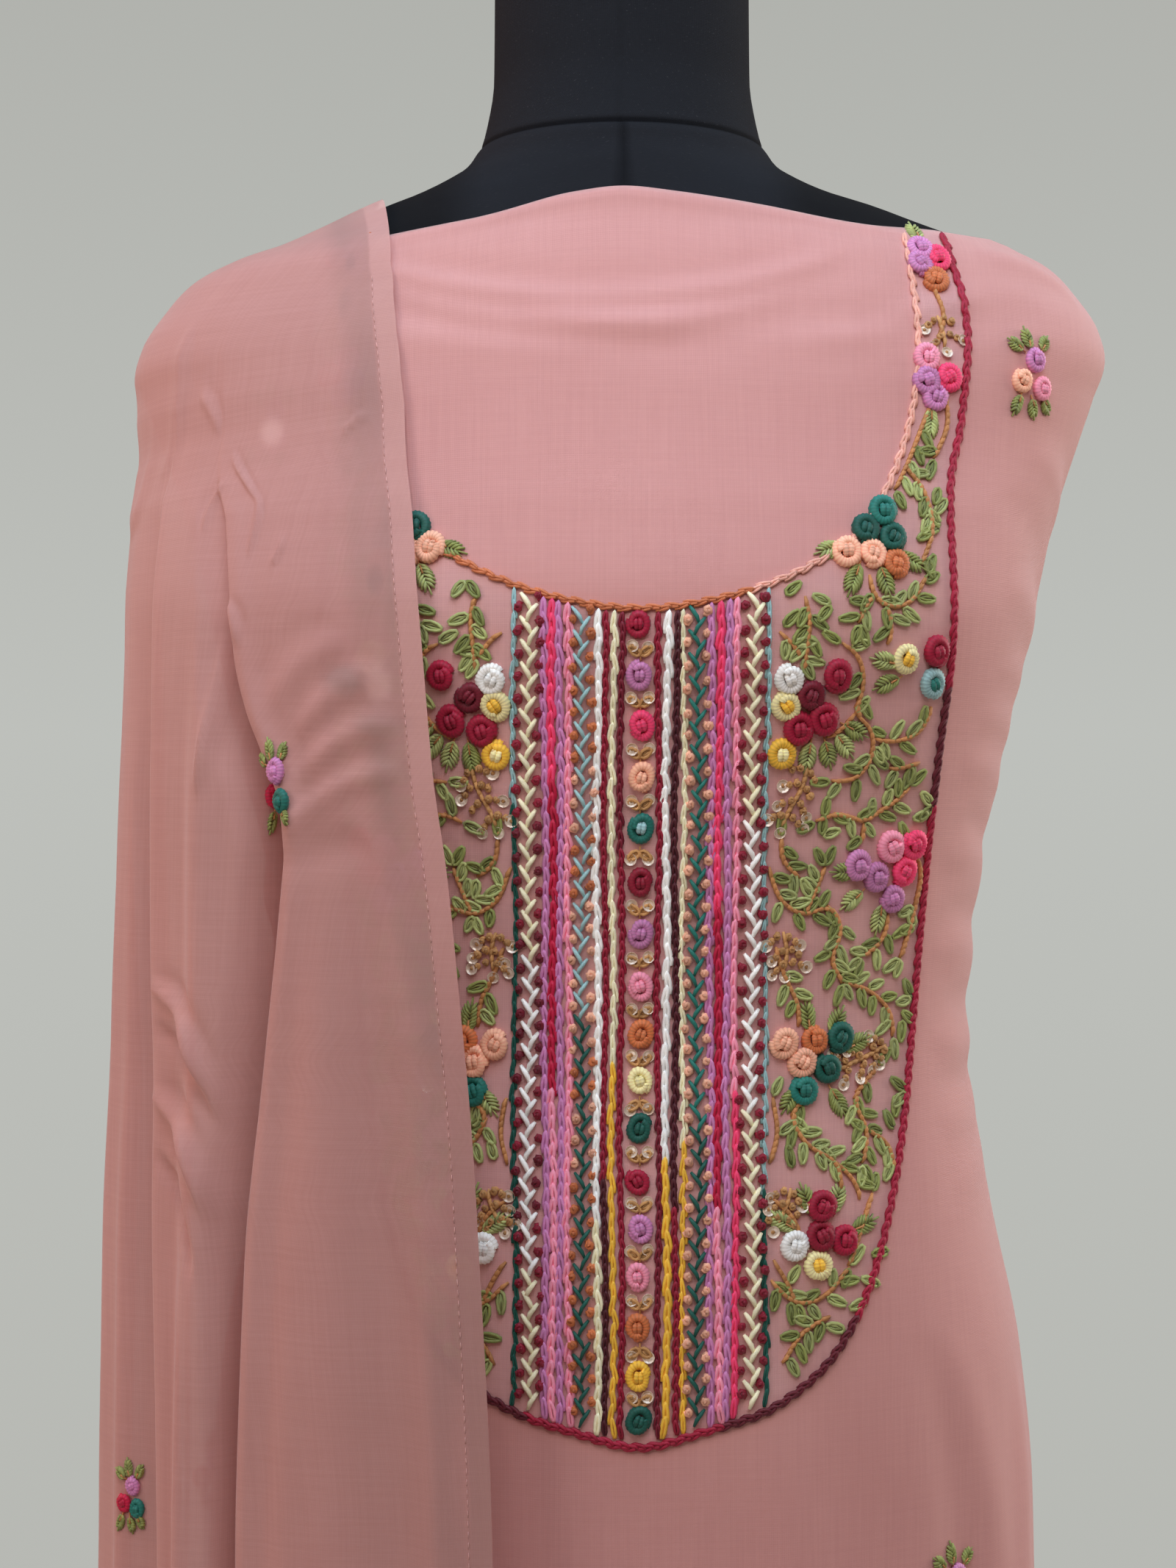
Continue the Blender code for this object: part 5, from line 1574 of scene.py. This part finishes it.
SECOND_TUCK = Sections(
    (1.335, -58.0, 0.000, 12), (1.307, -60.0, 0.000, 12), (1.270, -62.0, 0.001, 12),
    (1.230, -63.8, 0.003, 12), (1.170, -64.0, 0.006, 12), (1.065, -63.3, 0.009, 11),
    (0.990, -61.5, 0.011, 11), (0.806, -57.8, 0.013, 12), (0.600, -57.0, 0.016, 12),
    (0.220, -56.0, 0.018, 12),
)
TUCK_BREADTH = 1.1        # degrees over which the lapping edge drops
DUPATTA_FRONT_FOLDS = (
    Fold(-33, -33, 6, 0.004, 1.12, 1.00),
    Fold(-51, -49, 5, 0.005, 1.22, 1.10),
    Fold(-78, -77, 8, 0.005, 1.20, 0.98),
    Fold(-88, -86, 5, -0.008, 1.20, 0.98),
)
DUPATTA_BACK_FOLDS = (
    Fold(-108, -109, 8, -0.014, 1.22, 0.98),
    Fold(-124, -126, 9, -0.018, 1.24, 1.00),
    Fold(-138, -140, 8, 0.008, 1.20, 0.96),
    Fold(-149, -151, 7, -0.010, 1.16, 0.90),
)
DUPATTA_DEGREE = 0.0036        # metres of cloth to a degree
DUPATTA_STRAINS = (
    # soft arcs from the big fold up to the inner hem
    Strain(-37.5, 1.104, -23.5, 1.128, 0.10, 0.0042, 0.0024),
    Strain(-36.5, 1.121, -24.0, 1.147, 0.12, 0.0046, 0.0024),
    Strain(-36.5, 1.141, -25.0, 1.168, 0.10, 0.0050, 0.0019),
    Strain(-38.0, 1.090, -27.0, 1.098, 0.08, 0.0070, -0.0016),
    Strain(-41.0, 1.150, -30.0, 1.180, 0.10, 0.0060, 0.0014),
    # short creases off the shoulder's end, left by folding
    Strain(-49.0, 1.267, -43.4, 1.240, 0.03, 0.0013, 0.0015),
    Strain(-43.3, 1.244, -44.4, 1.214, 0.05, 0.0013, 0.0014),
    Strain(-53.4, 1.226, -48.8, 1.255, 0.10, 0.0018, 0.0014),
    Strain(-39.1, 1.222, -40.9, 1.209, 0.05, 0.0012, 0.0013),
    Strain(-32.4, 1.266, -28.6, 1.274, 0.10, 0.0013, 0.0014),
    Strain(-56.0, 1.290, -52.0, 1.276, 0.06, 0.0028, 0.0014),
    Strain(-47.0, 1.196, -45.0, 1.178, 0.03, 0.0026, 0.0018),
    # slack pinches in the outer folds
    Strain(-49.0, 1.182, -50.6, 1.118, 0.02, 0.0030, 0.0030),
    Strain(-62.5, 1.040, -48.5, 1.000, 0.16, 0.0036, 0.0044),
    Strain(-62.0, 1.024, -47.5, 0.978, 0.16, 0.0038, -0.0036),
    Strain(-61.5, 0.996, -47.5, 0.948, 0.16, 0.0042, 0.0048),
    Strain(-60.5, 0.972, -50.0, 0.925, 0.14, 0.0040, -0.0034),
    Strain(-70.0, 1.285, -80.0, 1.230, 0.08, 0.0060, 0.0010),
    Strain(-60.0, 1.318, -66.0, 1.262, 0.08, 0.0060, 0.0014),
    # long soft flutes down the falls
    Strain(-21, 1.000, -18, 0.300, 0.01, 0.0080, 0.0024),
    Strain(-28, 1.080, -25, 0.260, 0.02, 0.0100, -0.0026),
    Strain(-36, 0.980, -34, 0.250, -0.01, 0.0080, 0.0024),
    Strain(-53, 0.930, -51, 0.260, 0.01, 0.0070, 0.0034),
    Strain(-72, 1.160, -70, 0.280, 0.01, 0.0080, 0.0032),
    Strain(-84, 1.180, -80, 0.300, -0.01, 0.0090, 0.0034),
    Strain(-90, 1.100, -86, 0.360, 0.01, 0.0070, -0.0026),
    Strain(-102, 1.150, -104, 0.300, 0.01, 0.0080, 0.0032),
    Strain(-115, 1.120, -117, 0.280, -0.01, 0.0100, 0.0038),
    Strain(-131, 1.140, -133, 0.260, 0.01, 0.0080, 0.0032),
    Strain(-144, 1.100, -146, 0.300, 0.01, 0.0090, 0.0030),
    Strain(-155, 1.060, -156, 0.280, -0.01, 0.0070, 0.0026),
    Strain(-105, 1.290, -122, 1.226, 0.06, 0.0080, 0.0016),
    Strain(-122, 1.300, -140, 1.250, 0.06, 0.0080, -0.0012),
    Strain(-118, 1.010, -138, 0.965, 0.14, 0.0080, 0.0040),
)
BACK_STRIP, SHOULDER_RINGS = 100, 40        # columns of the back fall, and rings over the shoulder
# columns of the front fall, between the side, the two tucks and the inner hem
FRONT_STRIPS = (42, 5, 44, 6, 74)
HEM_WIDTH, HEM_COLUMNS, HEM_THICKNESS = 0.009, 4, 0.0006


def chiffon():
    made, wire, shader = finish("peach_chiffon", 0.78, Alpha=0.82, Sheen_Weight=0.3, Sheen_Roughness=0.4)
    lay, across, down = flat_cloth(wire)
    wander = wire.noise(lay, 200.0, 2.0) * 2.0
    grid = yarns(across, 0.0005, wander) + yarns(down, 0.0005, wander)
    streaks = slubs(lay, 800.0, 18.0) * 0.5 + slubs(lay, 25.0, 700.0) * 0.5
    share = streaks * 0.9 + slubs(lay, 9.0, 7.0) * 0.5 + grid * 0.08 - 0.20
    colour = wire.blend(share, (0.560, 0.252, 0.228), (0.738, 0.386, 0.348))
    # where it lies close over the kameez's worked yoke, the threads below are painted in, greying it, and the
    # roses below as paler spots, as both show through; these marks also hold painted shade on the lower front
    # fall and the lower hem, and painted light on the upper hem
    colour = wire.blend(wire.mark("below") * 0.55, colour, (0.362, 0.215, 0.196))
    colour = wire.blend(wire.mark("rose_below") * 0.55, colour, (0.900, 0.520, 0.480))
    wire.plug(shader.inputs["Base Color"], colour)
    wire.relief(shader, 0.3, 0.0002, grid * 0.3 + streaks)
    return made


def over_the_shoulder(x, y):
    """Points of the sheet above these places on the shoulder, found by halving the levels between two."""
    low, high = np.full(x.shape, DUPATTA_TOP - 0.01), np.full(x.shape, 1.395)
    reach = np.hypot(x, y)
    for _ in range(36):
        z = (low + high) / 2
        width, front, back, _ = BODY.at(z)
        ease = DUPATTA_EASE.at(z)
        depth = np.where(y < 0, front + ease[0], back + ease[2])
        turn = np.degrees(np.arctan2(x / (width + ease[1]), -y / depth))
        point = layer(turn, z, ease)
        short = np.hypot(point[..., 0], point[..., 1]) > reach
        low, high = np.where(short, z, low), np.where(short, high, z)
    return point


def tucked(turn, z):
    """How far the two tucks set the cloth in, with a soft roll along each lapping edge."""
    total = 0.0 * turn
    for tuck, roll in ((FIRST_TUCK, 0.0030), (SECOND_TUCK, 0.0010)):
        edge, depth, spread = tuck.at(z)
        off = turn - edge
        drop = ramp(-off, 0.0, TUCK_BREADTH) * (1 - ramp(-off, TUCK_BREADTH, spread))
        total = total - depth * drop + roll * np.clip(depth / 0.012, 0, 1) * bell((off - 1.5) / 1.7)
    return total


def fall_points(turn, z, folds, tucks):
    """Points of a fall at these turns and levels, tucked or not."""
    out = fold_depth(folds, turn, z, DUPATTA_HEM) + strain_height(DUPATTA_STRAINS, turn, z, DUPATTA_DEGREE)
    return layer(turn, z, DUPATTA_EASE.at(z) + out + (tucked(turn, z) if tucks else 0.0))


def strips_between(guides, counts):
    """Turns of columns, so many of them from each guide to the next."""
    strips = [guides[0][:, None]]
    for a, b, count in zip(guides, guides[1:], counts):
        strips.append(mix(a[:, None], b[:, None], np.arange(1, count + 1) / count))
    return np.concatenate(strips, axis=1)


def dupatta_grid():
    """One grid for the whole sheet: rings over the shoulder, then levels down both falls together. Its
    columns run from the back's inner hem round the side to the front's."""
    rows = levels((DUPATTA_TOP, 0.0021), (1.185, 0.0034), (0.93, 0.0060), (DUPATTA_HEM, 0))
    swing = DUPATTA_PART_TURN * (1 - ramp(rows, DUPATTA_HEM, DUPATTA_PART))
    front_hem, back_hem = INNER_HEMS.at(rows)
    back = strips_between([back_hem, DUPATTA_SIDE - swing], (BACK_STRIP,))
    # the front fall's columns are crowded where the tucks' edges drop
    guides = [DUPATTA_SIDE + swing]
    for tuck in (SECOND_TUCK, FIRST_TUCK):
        edge = tuck.at(rows)[0]
        guides += [edge - TUCK_BREADTH - 0.2, edge + 0.1]
    front = strips_between(guides + [front_hem], FRONT_STRIPS)
    falls = []
    for turn, folds, tucks in ((back, DUPATTA_BACK_FOLDS, False), (front, DUPATTA_FRONT_FOLDS, True)):
        falls.append(fall_points(turn, np.broadcast_to(rows[:, None], turn.shape), folds, tucks))
    falls = np.concatenate(falls, axis=1)
    share = (np.arange(SHOULDER_RINGS) / SHOULDER_RINGS)[:, None, None] ** 0.8
    flat = mix(np.array([DUPATTA_INNER_X, 0.0]), falls[0][None, :, :2], share)
    return np.concatenate([over_the_shoulder(flat[..., 0], flat[..., 1]), falls]), SHOULDER_RINGS


def turned_hem(name, hem, folds, hand, tucks):
    """The hem turned in along one side of a fall, and the line of the running stitch that holds it."""
    rows = levels((DUPATTA_TOP - 0.004, 0.0040), (DUPATTA_HEM, 0))
    edge = INNER_HEMS.at(rows)[hem]
    at_edge = fall_points(edge[:, None], rows[:, None], folds, tucks)[:, 0]
    beside = fall_points(edge[:, None] - hand, rows[:, None], folds, tucks)[:, 0]
    a_degree = np.linalg.norm(at_edge - beside, axis=1)
    share = np.linspace(1, 0, HEM_COLUMNS + 1)
    turn = edge[:, None] - hand * (HEM_WIDTH / a_degree)[:, None] * share
    points = fall_points(turn, np.broadcast_to(rows[:, None], turn.shape), folds, tucks)
    points = points[:, ::hand]
    normal = out_of(points)
    inner = 0 if hand > 0 else -1
    stitches = points[:, inner] + normal[:, inner] * 0.0002
    depth = np.where(share > 0, HEM_THICKNESS, 0.0)[::hand]
    strip = woven(name, points - normal * depth[None, :, None], chiffon_cloth)
    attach(strip, "root")
    return strip, stitches


def running_stitch(work, line):
    """Small stitches with gaps, on the cloth along a line of points."""
    run = run_of(line)
    for start in np.arange(0.002, run[-1] - 0.004, 0.0040):
        path = along_line(line, run, start + np.array([0.0, 0.0013, 0.0026]))
        work.strand(path, 0.00020, work.tint((0.68, 0.38, 0.35)))


chiffon_cloth = chiffon()
dupatta_points, first_row = dupatta_grid()
dupatta_x, dupatta_y, dupatta_z = np.moveaxis(dupatta_points, -1, 0)
parted = np.zeros((dupatta_points.shape[0] - 1, dupatta_points.shape[1] - 1), bool)
parted[first_row:, BACK_STRIP] = dupatta_z[first_row:-1, BACK_STRIP] < DUPATTA_PART - 0.004


def blots(*places):
    """Soft round spots on the front of the sheet: rows of x, level, radius across, radius down, strength."""
    total = 0.0 * dupatta_x
    for x, z, across, down, strength in places:
        off = ((dupatta_x - x) / across) ** 2 + ((dupatta_z - z) / down) ** 2
        total = np.maximum(total, strength * bell(off) * (dupatta_y < 0.02))
    return total


from_hem = np.where(dupatta_y < 0.0, dupatta_x[:, -1:] - dupatta_x, 1.0)        # from the front's inner hem
# painted show-through: the yoke's edge is painted in as a broken darker band beside the hem, and its leaves and
# roses as blots
band = ramp(from_hem, 0.0078, 0.0100) * (1 - ramp(from_hem, 0.018, 0.031)) * ramp(dupatta_z, 0.10, 0.90)
uneven = 0.26 * np.sin(dupatta_z * 37 + 1.0) * np.sin(from_hem * 230 + dupatta_z * 11)
broken = 0.60 + uneven + 0.14 * np.sin(dupatta_z * 83 + 2.0)
dark_blots = blots(
    (-0.0977, 1.2030, 0.0044, 0.0080, 1.0), (-0.1087, 1.1640, 0.0100, 0.0058, 0.95),
    (-0.1123, 1.3370, 0.0032, 0.0052, 0.85), (-0.0949, 1.1460, 0.0110, 0.0064, 0.90),
    (-0.1129, 1.3190, 0.0040, 0.0110, 0.60), (-0.1060, 1.2600, 0.0100, 0.0260, 0.40),
)
# painted shade: the front fall is darkened from just off its inner hem to some 6 cm in, below about 1.1 m
shaded = ramp(from_hem, 0.008, 0.010) * (1 - ramp(from_hem, 0.045, 0.065)) * (1 - ramp(dupatta_z, 1.02, 1.15))
rose_blots = blots((-0.1430, 1.2655, 0.0050, 0.0058, 1.0), (-0.0963, 1.1610, 0.0052, 0.0066, 1.0))
# the hem's two more thicknesses are painted paler high up, as painted light, and darker low down, as painted
# shade
in_hem = 1 - ramp(from_hem, 0.0084, 0.0094)
hem_painted_shade, hem_painted_light = in_hem * (1 - ramp(dupatta_z, 0.95, 1.08)), in_hem * ramp(dupatta_z, 1.02, 1.14)
# the mark 'below' holds the painted show-through of the yoke's edge and leaves, and the painted shade on the
# lower front fall and the lower hem
below = np.maximum.reduce([band * np.clip(broken, 0.15, 1.0), dark_blots, 0.35 * shaded, 0.75 * hem_painted_shade])
dupatta_marks = {"below": below, "rose_below": np.maximum(rose_blots, 0.42 * hem_painted_light)}
dupatta = woven("dupatta_sheet", dupatta_points, chiffon_cloth, gaps=(parted,), marks=dupatta_marks)
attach(dupatta, "root")
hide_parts("dupatta_shoulder", "dupatta_front_fall", "dupatta_back_fall")

front_hem, front_line = turned_hem("dupatta_front_hem", 0, DUPATTA_FRONT_FOLDS, 1, True)
back_hem, back_line = turned_hem("dupatta_back_hem", 1, DUPATTA_BACK_FOLDS, -1, False)
hem_work = Needlework(51)
for line in (front_line, back_line):
    running_stitch(hem_work, line)
hem_stitches = hem_work.piece("dupatta_hem_stitches", cotton_thread)

# The dupatta's own sprays, worked like the kameez's.
DUPATTA_FRONT_SPRAYS = (
    Spray(-0.1375, 1.1200, 10, 0.60), Spray(-0.2035, 0.8270, 4, 0.75, 0.80), Spray(-0.1000, 0.6800, -4),
    Spray(-0.0850, 0.5100, 5), Spray(-0.1900, 0.5600, -4), Spray(-0.1250, 0.3900, 3),
)
DUPATTA_BACK_SPRAYS = (
    Spray(-0.1500, 1.1400, -4), Spray(-0.1000, 0.9400, 4), Spray(-0.1900, 0.8000, 3),
    Spray(-0.1200, 0.6300, -5), Spray(-0.1900, 0.4700, 4), Spray(-0.1150, 0.3400, -3),
)
shawl_work, shawl_chance = Needlework(52), random.Random(53)
for from_y, places in ((-1.0, DUPATTA_FRONT_SPRAYS), (1.0, DUPATTA_BACK_SPRAYS)):
    ground = Ground(dupatta_points, from_y)
    for place in places:
        spray(shawl_work, ground, place, shawl_chance, SHAWL_THREADS)
shawl_sprays = shawl_work.piece("dupatta_sprays", cotton_thread)
